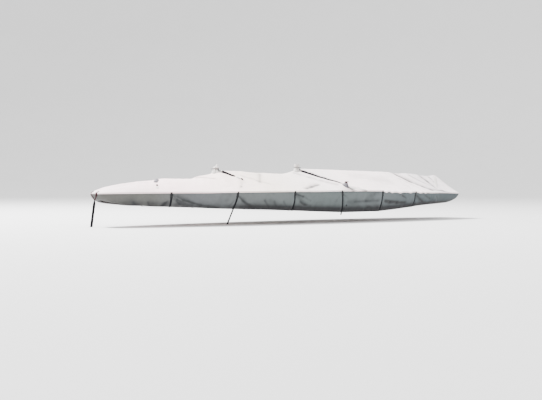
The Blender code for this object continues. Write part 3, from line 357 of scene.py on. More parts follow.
# Boots: radius of the ring, how closely it follows the cloth, level height, lean aft.
BOOT_COLUMNS = ("radius", "follow", "level", "lean")
MAST_COLLAR = (
    (0.114, 1.00, 0.000, 0.000),
    (0.098, 0.80, 0.600, 0.000),
    (0.076, 0.40, 0.618, 0.000),
    (0.0655, 0.00, 0.642, 0.000),
    (0.0640, 0.00, 0.658, 0.000),
    (0.0690, 0.00, 0.690, 0.000),
    (0.0670, 0.00, 0.735, 0.000),
)
FORWARD_BOOT = (
    (0.135, 1.00, 0.000, 0.000),
    (0.112, 0.75, 0.535, 0.000),
    (0.082, 0.30, 0.566, 0.000),
    (0.058, 0.00, 0.586, 0.000),
    (0.074, 0.00, 0.610, 0.000),
    (0.068, 0.00, 0.632, 0.000),
    (0.040, 0.00, 0.645, 0.000),
    (0.002, 0.00, 0.648, 0.000),
)
SHROUD_BOOT = (
    (0.088, 1.00, 0.000, 0.010),
    (0.072, 0.70, 0.205, 0.020),
    (0.050, 0.20, 0.228, 0.028),
    (0.034, 0.00, 0.252, 0.034),
    (0.024, 0.00, 0.282, 0.040),
)
SHROUD_TIE_LEAN = 0.038
BOOT_SIDES = 96
# Painted shade in the valleys of a boot's gathers and at its foot on the cloth.
BOOT_VALLEY_SHADE, BOOT_FOOT_SHADE = 0.40, 0.30
OPEN_BELOW = 0.3         # cloth this far below a boot's level is seen through an opening
# The binding round each neck fades in between the first two heights and out between the
# next two, and shows aft of the last value, which is measured from the boot's middle.
MAST_BAND = (0.570, 0.578, 0.626, 0.634, 0.010)
FORWARD_BAND = (0.532, 0.540, 0.600, 0.606, -0.010)
SHROUD_BAND = (0.226, 0.240, 0.900, 1.000, -0.200)
BAND_EDGE = 0.03
EAR_THICK = 0.003
# The ear above the forward boot: height, half width and lean aft.
FORWARD_EAR = (
    (0.6508, 0.018, 0.000),
    (0.668, 0.030, 0.004),
    (0.686, 0.025, 0.014),
    (0.700, 0.009, 0.024),
)


# ---------------------------------------------------------------- colours
def linear(code):
    """An sRGB hex colour as linear RGBA."""
    channels = [int(code[k : k + 2], 16) / 255 for k in (1, 3, 5)]
    straight = [c / 12.92 if c <= 0.04045 else ((c + 0.055) / 1.055) ** 2.4 for c in channels]
    return (*straight, 1.0)


def colour_prop(name, description, code):
    """A colour that the user can change, given as an sRGB hex value."""
    return FloatVectorProperty(
        name=name, description=description, subtype="COLOR", size=4, min=0, max=1,
        default=linear(code),
    )


def length_prop(name, description, default):
    """A length that the user can change, in metres."""
    return FloatProperty(
        name=name, description=description, default=default, min=0.0001, unit="LENGTH",
        subtype="DISTANCE",
    )


class CoverSizes(bpy.types.PropertyGroup):
    cloth: length_prop("Cloth", "Thickness of the cover cloth", 0.002)
    top_pitch: length_prop("Top facet", "Size of a facet of the top cloth", 0.024)
    side_pitch: length_prop("Side facet", "Size of a facet of the side cloth", 0.022)
    webbing: length_prop("Webbing width", "Width of the side straps", 0.044)
    webbing_thick: length_prop("Webbing thickness", "Thickness of the straps", 0.0018)
    strap_lift: length_prop("Strap lift", "Clearance between a strap and the cloth", 0.0008)
    patch_thick: length_prop("Patch", "Thickness of sewn patches and tape", 0.002)
    patch_lift: length_prop("Patch lift", "Clearance between a patch and the cloth", 0.0007)
    cord_radius: length_prop("Cord radius", "Radius of the drawn ties", 0.006)
    stitch: length_prop("Stitch", "Length of one stitch", 0.007)
    stitch_pitch: length_prop("Stitch pitch", "Distance from stitch to stitch", 0.011)


class CoverColours(bpy.types.PropertyGroup):
    top: colour_prop("Top", "Top canvas", "#F6F0EF")
    # The side is grey canvas, made darker than its own grey as painted shade.
    side: colour_prop("Side", "Side canvas", "#585C5E")
    # Colour of the painted shadow towards the hem and under the top's turned-down edge.
    shadow_tone: colour_prop("Grime", "Dirt that gathers along the hem", "#151417")
    # The patch is white cloth, made greyer as painted shade on the boots' gathers and the patches.
    patch: colour_prop("Patch", "Sewn white patches and boots", "#C9C5C1")
    boot: colour_prop("Boot", "Grey boots at the sides and the grey wrap forward", "#67636A")
    webbing: colour_prop("Webbing", "Side straps", "#0D0E12")
    tape: colour_prop("Tape", "Hook and loop closures", "#1E1D20")
    red: colour_prop("Red webbing", "Bridle at the bow and bindings of the grey boots", "#26030B")
    plastic: colour_prop("Plastic", "Moulded buckles", "#101113")
    cord: colour_prop("Cord", "Ties of the collar and of the forward boot", "#3B383C")
    thread: colour_prop("Thread", "Stitching on the white cloth", "#CFCBC6")
    floor: colour_prop("Floor", "Studio floor", "#CFCFCF")


def sizes():
    return bpy.context.scene.cover_sizes


def colours():
    return bpy.context.scene.cover_colours


# ---------------------------------------------------------------- curves from tables
def column(table, names, name):
    """One named column of a table as an array."""
    return np.array([row[names.index(name)] for row in table], dtype=float)


def through(xs, ys, at):
    """The smooth curve through (xs, ys) that never overshoots a row, read at `at`."""
    xs, ys, at = np.asarray(xs), np.asarray(ys), np.asarray(at, dtype=float)
    step = np.diff(xs)
    rise = np.diff(ys) / step
    slope = np.zeros(len(xs))
    slope[0], slope[-1] = rise[0], rise[-1]
    for k in range(1, len(xs) - 1):
        before, after = rise[k - 1], rise[k]
        if before * after > 0:
            wide, narrow = 2 * step[k] + step[k - 1], step[k] + 2 * step[k - 1]
            slope[k] = (wide + narrow) / (wide / before + narrow / after)
    at = np.clip(at, xs[0], xs[-1])
    k = np.clip(np.searchsorted(xs, at, side="right") - 1, 0, len(step) - 1)
    t = (at - xs[k]) / step[k]
    return (
        ys[k] * (1 + 2 * t) * (1 - t) ** 2
        + slope[k] * step[k] * t * (1 - t) ** 2
        + ys[k + 1] * t * t * (3 - 2 * t)
        + slope[k + 1] * step[k] * t * t * (t - 1)
    )


def fade(edge_low, edge_high, value):
    """0 below the first edge, 1 above the second and smooth between."""
    t = np.clip((value - edge_low) / (edge_high - edge_low), 0.0, 1.0)
    return t * t * (3 - 2 * t)


def fold(x, y, start, end, half_width, heights, crisp):
    """Height that a fold from start to end adds at each place."""
    line = (end[0] - start[0], end[1] - start[1])
    length = math.hypot(*line)
    off_x, off_y = x - start[0], y - start[1]
    reach = (off_x * line[0] + off_y * line[1]) / length
    aside = np.abs(off_x * line[1] - off_y * line[0]) / length / half_width
    beyond = np.maximum(np.maximum(-reach, reach - length), 0.0) / half_width
    height = heights[0] + (heights[1] - heights[0]) * np.clip(reach / length, 0, 1)
    soft, sharp = np.exp(-(aside**2)), np.exp(-1.4 * aside)
    return height * (soft * (1 - crisp) + sharp * crisp) * np.exp(-(beyond**2))


def ripple(x, y, length, seed):
    """Uneven waves of about one wavelength, between -1 and 1."""
    dice = np.random.default_rng(seed)
    total = np.zeros(np.broadcast(x, y).shape)
    waves = 7
    for _ in range(waves):
        angle, phase = dice.uniform(0, math.pi), dice.uniform(0, 2 * math.pi)
        pace = 2 * math.pi / (length * dice.uniform(0.7, 1.5))
        total += np.sin(pace * (x * math.cos(angle) + y * math.sin(angle)) + phase)
    return total / math.sqrt(waves * 2)


def gathers(x, y, centre_x, centre_y, folds, height, reach, start, seed):
    """Folds that run out from one place, as where cloth is drawn together."""
    off_x, off_y = x - centre_x, y - centre_y
    radius = np.hypot(off_x, off_y)
    angle = np.arctan2(off_y, off_x)
    dice = np.random.default_rng(seed)
    waves = np.zeros(radius.shape)
    for share, weight in GATHER_WAVES:
        turns = max(3, round(folds * share))
        waves += weight * np.cos(turns * angle + dice.uniform(0, 6.28))
    near = np.clip((radius - start * 0.5) / start, 0, 1)
    uneven = 0.6 + 0.4 * np.cos(3 * angle + dice.uniform(0, 6.28))
    return height * waves * uneven * near * np.exp(-((radius / reach) ** 1.5))


# ---------------------------------------------------------------- the cloth's own shape
SHEET_CURVES = {name: column(SECTIONS, SECTION_COLUMNS, name) for name in SECTION_COLUMNS}
RIDGE_X = column(RIDGE, RIDGE_COLUMNS, "x")


def section(places):
    """The named curves of the sections, read at each place along the table."""
    index = np.arange(len(SECTIONS), dtype=float)
    return {name: through(index, ys, places) for name, ys in SHEET_CURVES.items()}


def scallop(x, side):
    """How far the sheer dips at X on one side."""
    total = np.zeros(np.shape(x))
    for at, on_side, half, drop in SCALLOPS:
        total = total + np.where(side == on_side, drop * np.exp(-(((x - at) / half) ** 2)), 0.0)
    return total


def top_relief(x, y, share):
    """Folds, creases, gathers and slackness of the top cloth, added to its shape."""
    relief = np.zeros(x.shape)
    for x0, y0, x1, y1, half, low, high, crisp in TOP_FOLDS + TOP_CREASES:
        relief += fold(x, y, (x0, y0), (x1, y1), half, (low, high), crisp)
    for seed, row in enumerate(GATHERS):
        relief += gathers(x, y, *row, seed)
    relief += 0.0075 * ripple(x, y, length=0.75, seed=21) * fade(0.0, 0.25, share)
    relief += 0.0026 * ripple(x, y, length=0.24, seed=22)
    relief += 0.0007 * ripple(x, y, length=0.10, seed=23)
    # Short puckers above the sheer, where the edge is drawn down by the side.
    puckers = ripple(x, np.zeros(x.shape), length=0.13, seed=24)
    puckers *= ripple(x, y, length=0.9, seed=25)
    relief += 0.0050 * puckers * fade(0.80, 0.97, share)
    return relief * (1 - share**16)


def crease_shade(x, y, rows, spread):
    """How dark the painted shade lies in and beside the creases at each place, 0 to 1."""
    total = np.zeros(x.shape)
    for x0, y0, x1, y1, half, low, high, crisp in rows:
        if low < 0:
            tone = (low / CREASE_DEPTH, high / CREASE_DEPTH)
            total += np.abs(fold(x, y, (x0, y0), (x1, y1), half * spread, tone, crisp))
    patchy = 0.75 + 0.35 * ripple(x, y, length=0.16, seed=61)
    return np.clip(total * patchy, 0, CREASE_DARKEST)


def roof(places, spread):
    """Points of the top cloth: rows from bow to stern, columns from starboard to port."""
    rows = {name: values[:, None] for name, values in section(places).items()}
    v = spread[None, :]
    share = np.abs(v)
    soft = np.clip(np.sqrt(v**2 + RIDGE_ROUND**2) - RIDGE_ROUND * (1 - share), 0, 1)
    side = np.where(v > 0, STARBOARD, PORT)
    edge_z = rows["sheer_z"] - scallop(rows["sheer_x"], side)
    crown = through(RIDGE_X, column(RIDGE, RIDGE_COLUMNS, "crown"), rows["centre_x"])
    ridge = through(RIDGE_X, column(RIDGE, RIDGE_COLUMNS, "height"), rows["centre_x"])
    shape = crown * (1 - share**2) + (1 - crown) * (1 - soft) ** TENT_POWER
    x = rows["centre_x"] + (rows["sheer_x"] - rows["centre_x"]) * share
    y = v * rows["sheer_half"]
    z = edge_z + (ridge - edge_z) * shape + top_relief(x, y, share)
    return np.stack(np.broadcast_arrays(x, y, z), axis=-1)


def spaced_places(first, last, pitch):
    """Places along the section table about one pitch apart on the sheer."""
    fine = np.linspace(first, last, 4000)
    rows = section(fine)
    steps = np.hypot(np.diff(rows["sheer_x"]), np.diff(rows["sheer_half"]))
    run = np.concatenate([[0.0], np.cumsum(steps)])
    count = max(2, round(run[-1] / pitch))
    return np.interp(np.linspace(0, run[-1], count + 1), run, fine)


def along_rows(points):
    """Distance run along each row of a grid of points, from its middle."""
    steps = np.linalg.norm(np.diff(points, axis=1), axis=2)
    run = np.concatenate([np.zeros((len(points), 1)), np.cumsum(steps, axis=1)], axis=1)
    return run - run[:, [run.shape[1] // 2]]


def run_along(line):
    """Distance run along a line of points, from its first."""
    return np.concatenate([[0.0], np.cumsum(np.linalg.norm(np.diff(line, axis=0), axis=1))])


def as_grid(rows):
    """Rows of vectors as one array of points."""
    return np.array([[tuple(place) for place in row] for row in rows])


# ---------------------------------------------------------------- making meshes
def grid_mesh(name, points, uv, closed=False):
    """A mesh through a grid of points, with a UV map in metres.

    With `closed` each row is a ring; uv then has one column more than points.
    """
    rows, columns = points.shape[:2]
    wide = columns if closed else columns - 1
    i, j = np.meshgrid(np.arange(rows - 1), np.arange(wide), indexing="ij")
    after = (j + 1) % columns
    corners = np.stack(
        [i * columns + j, i * columns + after, (i + 1) * columns + after, (i + 1) * columns + j],
        axis=-1,
    ).reshape(-1, 4)
    mesh = bpy.data.meshes.new(name)
    mesh.vertices.add(rows * columns)
    mesh.vertices.foreach_set("co", points.astype(np.float32).ravel())
    mesh.loops.add(corners.size)
    mesh.loops.foreach_set("vertex_index", corners.ravel().astype(np.int32))
    mesh.polygons.add(len(corners))
    mesh.polygons.foreach_set("loop_start", np.arange(0, corners.size, 4, dtype=np.int32))
    mesh.update(calc_edges=True)
    at = uv.shape[1]
    places = np.stack(
        [i * at + j, i * at + j + 1, (i + 1) * at + j + 1, (i + 1) * at + j], axis=-1
    )
    layer = mesh.uv_layers.new(name="cloth")
    layer.data.foreach_set("uv", uv.reshape(-1, 2)[places.ravel()].astype(np.float32).ravel())
    mesh.validate()
    mesh.shade_smooth()
    return mesh


def new_piece(name, mesh, material, nodes=()):
    """An object of the cover that rides on its one body and stands for CAD nodes."""
    made = bpy.data.objects.new(name, mesh)
    bpy.context.scene.collection.objects.link(made)
    made.data.materials.clear()
    made.data.materials.append(material)
    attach(made, "root")
    if nodes:
        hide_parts(*nodes)
    return made


def thicken(made, thickness, outward):
    """Gives a sheet its thickness to one side, with a live modifier."""
    wall = made.modifiers.new("wall", "SOLIDIFY")
    wall.thickness = thickness
    wall.offset = 1.0 if outward else -1.0
    wall.use_even_offset = False


def paint(mesh, name, values):
    """A number at each vertex that a material can read."""
    layer = mesh.attributes.new(name=name, type="FLOAT", domain="POINT")
    layer.data.foreach_set("value", np.asarray(values, dtype=np.float32).ravel())


def fill_holes(mesh, is_edge, outward=False):
    """Closes the openings of a mesh whose edges lie where is_edge says."""
    work = bmesh.new()
    work.from_mesh(mesh)
    edges = [e for e in work.edges if e.is_boundary and is_edge(e.verts[0].co)]
    bmesh.ops.holes_fill(work, edges=edges, sides=0)
    if outward:
        bmesh.ops.recalc_face_normals(work, faces=work.faces)
    work.to_mesh(mesh)
    work.free()
    mesh.shade_smooth()


def open_hole(mesh, x, y, radius):
    """Opens a round hole through a sheet, seen from above, with a smooth edge."""
    work = bmesh.new()
    work.from_mesh(mesh)

    def away(point):
        return math.hypot(point.x - x, point.y - y)

    near = [f for f in work.faces if away(f.calc_center_median()) < radius + 0.05]
    edges = list({edge for f in near for edge in f.edges})
    if edges:
        bmesh.ops.subdivide_edges(work, edges=edges, cuts=3, use_grid_fill=True)
    before = {v for v in work.verts if v.is_boundary}
    inside = [f for f in work.faces if away(f.calc_center_median()) < radius]
    bmesh.ops.delete(work, geom=inside, context="FACES")
    for vert in work.verts:
        if vert.is_boundary and vert not in before:
            reach = away(vert.co)
            vert.co.x = x + (vert.co.x - x) * radius / reach
            vert.co.y = y + (vert.co.y - y) * radius / reach
    work.to_mesh(mesh)
    work.free()


# ---------------------------------------------------------------- materials
WHITE, BLACK = linear("#FFFFFF"), linear("#000000")
MIXED = {"data_type": "RGBA"}
MULTIPLIED = {"data_type": "RGBA", "blend_type": "MULTIPLY"}
WEAVE_MM = 3.0           # the real threads are 0.5 mm apart and would not show
WEBBING_MM = 2.5
BRAID_MM = 4.0
LOOP_SCALE = 450.0       # loops 2 mm apart, the real ones are finer and would not show
GRAIN_SCALE = 900.0      # grain of 1 mm, the real one is finer and would not show


def add(tree, kind, settings=None, inputs=None, stops=()):
    """Adds a node with its settings; inputs are values or sockets to link.

    Each stop of a colour ramp is a place and a linear colour.
    """
    made = tree.nodes.new(kind)
    for key, value in (settings or {}).items():
        setattr(made, key, value)
    for key, value in (inputs or {}).items():
        socket = made.inputs[key]
        if isinstance(value, bpy.types.NodeSocket):
            tree.links.new(value, socket)
        else:
            socket.default_value = value
    if stops:
        elements = made.color_ramp.elements
        for element, (place, colour) in zip((elements[0], elements[-1]), (stops[0], stops[-1])):
            element.position, element.color = place, colour
        for place, colour in stops[1:-1]:
            elements.new(place).color = colour
    return made


def new_material(name, roughness, extra=None):
    """A material with its Principled shader, and the tree to add to."""
    made = bpy.data.materials.new(name)
    made.use_nodes = True
    tree = made.node_tree
    shader = tree.nodes["Principled BSDF"]
    shader.inputs["Roughness"].default_value = roughness
    for key, value in (extra or {}).items():
        shader.inputs[key].default_value = value
    return made, tree, shader


def scaled(colour, factor):
    """A colour made darker or lighter by a factor."""
    return (*(min(c * factor, 1.0) for c in colour[:3]), 1.0)


def band_scale(pitch_mm):
    """Scale of a wave texture whose bands lie this far apart on a map in metres."""
    return 1000 / pitch_mm / 20 * math.pi


def cloth_weave(tree):
    """Plain weave on the cloth's own UV map: two sets of threads square to each other."""
    uv = add(tree, "ShaderNodeUVMap", {"uv_map": "cloth"}).outputs["UV"]
    bands = []
    for direction in ("X", "Y"):
        wave = add(
            tree, "ShaderNodeTexWave",
            {"wave_type": "BANDS", "bands_direction": direction, "wave_profile": "SIN"},
            {"Vector": uv, "Scale": band_scale(WEAVE_MM), "Distortion": 0.0},
        )
        bands.append(wave.outputs["Fac"])
    over = add(tree, "ShaderNodeMath", {"operation": "MAXIMUM"}, {0: bands[0], 1: bands[1]})
    return over.outputs[0]


def canvas(name, colour, worn, creased_to, tints=(), shadow_tone=None, binding=None):
    """Coated woven canvas: a dull, even sheet that shows faint damp marks and chalky wear.

    Painted values darken it: painted shade in creases, hollows and at the hem, binding at a neck.
    """
    made, tree, shader = new_material(
        name, 0.78, {"Sheen Weight": 0.08, "Sheen Roughness": 0.5, "Specular IOR Level": 0.35}
    )
    place = add(tree, "ShaderNodeTexCoord").outputs["Object"]
    blotch = add(tree, "ShaderNodeTexNoise", None,
                 {"Vector": place, "Scale": 1.1, "Detail": 5.0, "Roughness": 0.6})
    speck = add(tree, "ShaderNodeTexNoise", None,
                {"Vector": place, "Scale": 14.0, "Detail": 6.0, "Roughness": 0.7})
    base = add(tree, "ShaderNodeValToRGB", None, {"Fac": blotch.outputs["Fac"]},
               ((0.30, scaled(colour, 1 - worn)), (0.62, tuple(colour))))
    fine = add(tree, "ShaderNodeValToRGB", None, {"Fac": speck.outputs["Fac"]},
               ((0.30, scaled(WHITE, 1 - worn * 0.7)), (0.60, WHITE)))
    painted = add(tree, "ShaderNodeMix", MULTIPLIED,
                  {0: 1.0, 6: base.outputs["Color"], 7: fine.outputs["Color"]}).outputs[2]
    if tints:
        x = add(tree, "ShaderNodeSeparateXYZ", None, {"Vector": place}).outputs["X"]
        along = add(tree, "ShaderNodeMapRange", None,
                    {"Value": x, "From Min": -TINT_REACH, "From Max": TINT_REACH})
        stops = [((at / TINT_REACH + 1) / 2, linear(code)) for at, code in tints]
        tint = add(tree, "ShaderNodeValToRGB", None, {"Fac": along.outputs["Result"]}, stops)
        painted = add(tree, "ShaderNodeMix", MULTIPLIED,
                      {0: 1.0, 6: painted, 7: tint.outputs["Color"]}).outputs[2]
    # Painted shade in creases and hollows, painted shadow by the hem and under the edge, and a
    # neck's binding.
    tones = {"shade": scaled(colour, creased_to), "shadow_tone": shadow_tone, "binding": binding}
    for value, tone in tones.items():
        if tone is not None:
            share = add(tree, "ShaderNodeAttribute", {"attribute_name": value}).outputs["Fac"]
            painted = add(tree, "ShaderNodeMix", MIXED,
                          {0: share, 6: painted, 7: tuple(tone)}).outputs[2]
    tree.links.new(painted, shader.inputs["Base Color"])
    fuzz = add(tree, "ShaderNodeMath", {"operation": "MULTIPLY_ADD"},
               {0: speck.outputs["Fac"], 1: 0.6, 2: cloth_weave(tree)}).outputs[0]
    bump = add(tree, "ShaderNodeBump", None,
               {"Strength": 0.25, "Distance": 0.0006, "Height": fuzz})
    tree.links.new(bump.outputs["Normal"], shader.inputs["Normal"])
    return made


def webbing(name, colour):
    """Woven webbing: close ribs across the strap with a slightly shiny filament."""
    made, tree, shader = new_material(name, 0.7, {"Specular IOR Level": 0.12})
    uv = add(tree, "ShaderNodeUVMap", {"uv_map": "cloth"}).outputs["UV"]
    place = add(tree, "ShaderNodeTexCoord").outputs["Object"]
    ribs = add(tree, "ShaderNodeTexWave",
               {"wave_type": "BANDS", "bands_direction": "Y", "wave_profile": "SIN"},
               {"Vector": uv, "Scale": band_scale(WEBBING_MM), "Distortion": 1.5,
                "Detail": 2.0, "Detail Scale": 3.0})
    herring = add(tree, "ShaderNodeTexWave",
                  {"wave_type": "BANDS", "bands_direction": "DIAGONAL", "wave_profile": "TRI"},
                  {"Vector": uv, "Scale": band_scale(WEBBING_MM), "Distortion": 0.5})
    both = add(tree, "ShaderNodeMath", {"operation": "MULTIPLY_ADD"},
               {0: herring.outputs["Fac"], 1: 0.5, 2: ribs.outputs["Fac"]}).outputs[0]
    dust = add(tree, "ShaderNodeTexNoise", None, {"Vector": place, "Scale": 9.0, "Detail": 6.0})
    threads = add(tree, "ShaderNodeValToRGB", None, {"Fac": both},
                  ((0.0, scaled(colour, 0.7)), (1.0, scaled(colour, 1.25))))
    dusty = add(tree, "ShaderNodeValToRGB", None, {"Fac": dust.outputs["Fac"]},
                ((0.45, BLACK), (0.75, linear("#4A4A4A"))))
    faded = add(tree, "ShaderNodeMix", MIXED, {
        0: dusty.outputs["Color"], 6: threads.outputs["Color"], 7: scaled(colour, 1.9),
    })
    tree.links.new(faded.outputs[2], shader.inputs["Base Color"])
    bump = add(tree, "ShaderNodeBump", None, {"Strength": 0.6, "Distance": 0.0006, "Height": both})
    tree.links.new(bump.outputs["Normal"], shader.inputs["Normal"])
    return made


def grip_tape(name, colour):
    """Hook and loop tape: a dense mat of small loops that swallows light."""
    made, tree, shader = new_material(name, 0.95, {"Specular IOR Level": 0.08})
    place = add(tree, "ShaderNodeTexCoord").outputs["Object"]
    loops = add(tree, "ShaderNodeTexVoronoi", {"feature": "F1"},
                {"Vector": place, "Scale": LOOP_SCALE})
    lint = add(tree, "ShaderNodeTexNoise", None, {"Vector": place, "Scale": 60.0, "Detail": 8.0})
    mat = add(tree, "ShaderNodeValToRGB", None, {"Fac": loops.outputs["Distance"]},
              ((0.1, scaled(colour, 1.3)), (0.7, scaled(colour, 0.6))))
    dusty = add(tree, "ShaderNodeValToRGB", None, {"Fac": lint.outputs["Fac"]},
                ((0.55, BLACK), (0.70, linear("#505050"))))
    painted = add(tree, "ShaderNodeMix", MIXED, {
        0: dusty.outputs["Color"], 6: mat.outputs["Color"], 7: scaled(colour, 2.2),
    })
    tree.links.new(painted.outputs[2], shader.inputs["Base Color"])
    bump = add(tree, "ShaderNodeBump", None,
               {"Strength": 0.8, "Distance": 0.0008, "Height": loops.outputs["Distance"]})
    tree.links.new(bump.outputs["Normal"], shader.inputs["Normal"])
    return made


def moulded_acetal(name, colour):
    """Moulded acetal: satin with a faint grain and paler scuffs here and there."""
    made, tree, shader = new_material(name, 0.42, {"Specular IOR Level": 0.22})
    place = add(tree, "ShaderNodeTexCoord").outputs["Object"]
    grain = add(tree, "ShaderNodeTexNoise", None,
                {"Vector": place, "Scale": GRAIN_SCALE, "Detail": 3.0})
    scuff = add(tree, "ShaderNodeTexNoise", None, {"Vector": place, "Scale": 70.0, "Detail": 9.0})
    tint = add(tree, "ShaderNodeValToRGB", None, {"Fac": scuff.outputs["Fac"]},
               ((0.50, tuple(colour)), (0.78, scaled(colour, 4.0))))
    tree.links.new(tint.outputs["Color"], shader.inputs["Base Color"])
    rough = add(tree, "ShaderNodeMapRange", None,
                {"Value": scuff.outputs["Fac"], "To Min": 0.34, "To Max": 0.60})
    tree.links.new(rough.outputs["Result"], shader.inputs["Roughness"])
    bump = add(tree, "ShaderNodeBump", None,
               {"Strength": 0.3, "Distance": 0.0002, "Height": grain.outputs["Fac"]})
    tree.links.new(bump.outputs["Normal"], shader.inputs["Normal"])
    return made


def braided_cord(name, colour):
    """Braided polyester cord: crossing strands that catch the light in small steps."""
    made, tree, shader = new_material(name, 0.65, {"Specular IOR Level": 0.2})
    uv = add(tree, "ShaderNodeUVMap", {"uv_map": "cloth"}).outputs["UV"]
    strands = []
    for turn in (0.8, -0.8):
        turned = add(tree, "ShaderNodeMapping", None, {"Vector": uv, "Rotation": (0, 0, turn)})
        wave = add(tree, "ShaderNodeTexWave",
                   {"wave_type": "BANDS", "bands_direction": "X", "wave_profile": "SIN"},
                   {"Vector": turned.outputs["Vector"], "Scale": band_scale(BRAID_MM)})
        strands.append(wave.outputs["Fac"])
    braid = add(tree, "ShaderNodeMath", {"operation": "MAXIMUM"}, {0: strands[0], 1: strands[1]})
    tint = add(tree, "ShaderNodeValToRGB", None, {"Fac": braid.outputs[0]},
               ((0.2, scaled(colour, 0.6)), (0.9, scaled(colour, 1.5))))
    tree.links.new(tint.outputs["Color"], shader.inputs["Base Color"])
    bump = add(tree, "ShaderNodeBump", None,
               {"Strength": 0.7, "Distance": 0.0010, "Height": braid.outputs[0]})
    tree.links.new(bump.outputs["Normal"], shader.inputs["Normal"])
    return made


def sewing_thread(name, colour):
    """Bonded polyester thread: smooth, a little shiny."""
    made, tree, shader = new_material(name, 0.5, {"Sheen Weight": 0.1})
    place = add(tree, "ShaderNodeTexCoord").outputs["Object"]
    soil = add(tree, "ShaderNodeTexNoise", None, {"Vector": place, "Scale": 3.0, "Detail": 4.0})
    tint = add(tree, "ShaderNodeValToRGB", None, {"Fac": soil.outputs["Fac"]},
               ((0.35, scaled(colour, 0.75)), (0.65, tuple(colour))))
    tree.links.new(tint.outputs["Color"], shader.inputs["Base Color"])
    return made


TINT_REACH = 6.0         # the tints below are given by X, within this far of the middle
TOP_TINTS = (
    (-5.8, "#F2E6E8"), (-4.0, "#FFEAEC"), (-2.8, "#FFF0ED"), (-1.4, "#F2EADF"),
    (0.4, "#F0ECEC"), (1.4, "#FFF5F5"), (3.9, "#FAF4F5"), (4.5, "#E4E1E4"), (5.8, "#E8E4E6"),
)
# Painted reflected light along the side: warm at the bow, greenish amidships, dark and bluish aft.
SIDE_REFLECTIONS = (
    (-5.8, "#D8CDC0"), (-4.6, "#F4ECE0"), (-3.6, "#F6F2F4"), (-2.2, "#FFFFFB"),
    (0.2, "#F4FFFA"), (2.1, "#FAFFFF"), (3.6, "#DCEAEE"), (5.5, "#AEC0C4"),
)


def finish(name):
    """The material of that name, made when it is first asked for."""
    made = bpy.data.materials.get(name)
    if made is not None:
        return made
    c = colours()
    makers = {
        "coated_canvas_white": lambda: canvas(name, c.top, 0.05, 0.04, TOP_TINTS),
        "coated_canvas_grey": lambda: canvas(name, c.side, 0.14, 0.20, SIDE_REFLECTIONS, c.shadow_tone),
        "coated_canvas_patch": lambda: canvas(name, c.patch, 0.10, 0.15, binding=c.tape),
        "coated_canvas_boot": lambda: canvas(name, c.boot, 0.15, 0.20, binding=c.red),
        "polyester_webbing_dark": lambda: webbing(name, c.webbing),
        "polyester_webbing_red": lambda: webbing(name, c.red),
        "hook_and_loop_tape": lambda: grip_tape(name, c.tape),
        "moulded_acetal": lambda: moulded_acetal(name, c.plastic),
        "braided_polyester_cord": lambda: braided_cord(name, c.cord),
        "bonded_thread_white": lambda: sewing_thread(name, c.thread),
    }
    return makers[name]()


# ---------------------------------------------------------------- reading the cloth
class Surfaces:
    """Finished pieces, asked for the place where a straight line first meets them."""

    def __init__(self, things):
        bpy.context.view_layer.update()
        graph = bpy.context.evaluated_depsgraph_get()
        self.trees = [BVHTree.FromObject(thing, graph) for thing in things]

    def first(self, start, direction):
        """The nearest place that a line from start meets, or None."""
        best = None
        for tree in self.trees:
            place, _, _, distance = tree.ray_cast(start, direction)
            if place is not None and (best is None or distance < best[1]):
                best = (place, distance)
        return best[0] if best else None

    def top(self, x, y):
        """Height of the top cloth at a place in plan."""
        place = self.first(Vector((x, y, 3.0)), Vector((0, 0, -1)))
        return place.z if place else None

    def side(self, foot, outward, z):
        """The outermost cloth in the upright plane through foot, at height z."""
        start = Vector((foot.x, foot.y, z)) + outward * 0.8
        return self.first(start, -outward)


CLOTH_PIECES = ("top_cloth_forward", "top_cloth_aft", "side_cloth_port", "side_cloth_starboard")
_cloth = {}


def cloth():
    """The four cloth pieces as surfaces, read once."""
    if "all" not in _cloth:
        _cloth["all"] = Surfaces([bpy.data.objects[name] for name in CLOTH_PIECES])
    return _cloth["all"]


SAMPLES = [n / 4 for n in range(5)]


def settle(rows, short_by, direction, closed=False):
    """Moves a sheet's points along a direction until the facets between them clear too."""
    width = len(rows[0])
    for _ in range(3):
        moves = [[0.0] * width for _ in rows]
        for i in range(len(rows) - 1):
            for j in range(width if closed else width - 1):
                corners = ((i, j), (i, (j + 1) % width), (i + 1, j), (i + 1, (j + 1) % width))
                a, b, c, d = (rows[m][n] for m, n in corners)
                spots = [a.lerp(b, u).lerp(c.lerp(d, u), v) for u in SAMPLES for v in SAMPLES]
                worst = max(short_by(spot) for spot in spots)
                for m, n in corners:
                    moves[m][n] = max(moves[m][n], worst)
        for row, shifts in zip(rows, moves):
            for n, shift in enumerate(shifts):
                row[n] = row[n] + direction * shift
    return rows


def settle_on_top(rows, closed=False):
    """Lifts a sheet until all of it clears the top cloth."""
    lift = sizes().patch_lift

    def short_by(point):
        height = cloth().top(point.x, point.y)
        return height + lift - point.z if height is not None else 0.0

    return settle(rows, short_by, Vector((0, 0, 1)), closed)


def ribbon(name, rows, thickness, finish_name, nodes):
    """A flat strip through rows of points, thickened outwards."""
    points = as_grid(rows)
    across = along_rows(points)
    run = run_along(points[:, points.shape[1] // 2])
    uv = np.stack([across, np.broadcast_to(run[:, None], across.shape)], axis=-1)
    made = new_piece(name, grid_mesh(name, points, uv), finish(finish_name), nodes)
    thicken(made, thickness, outward=True)


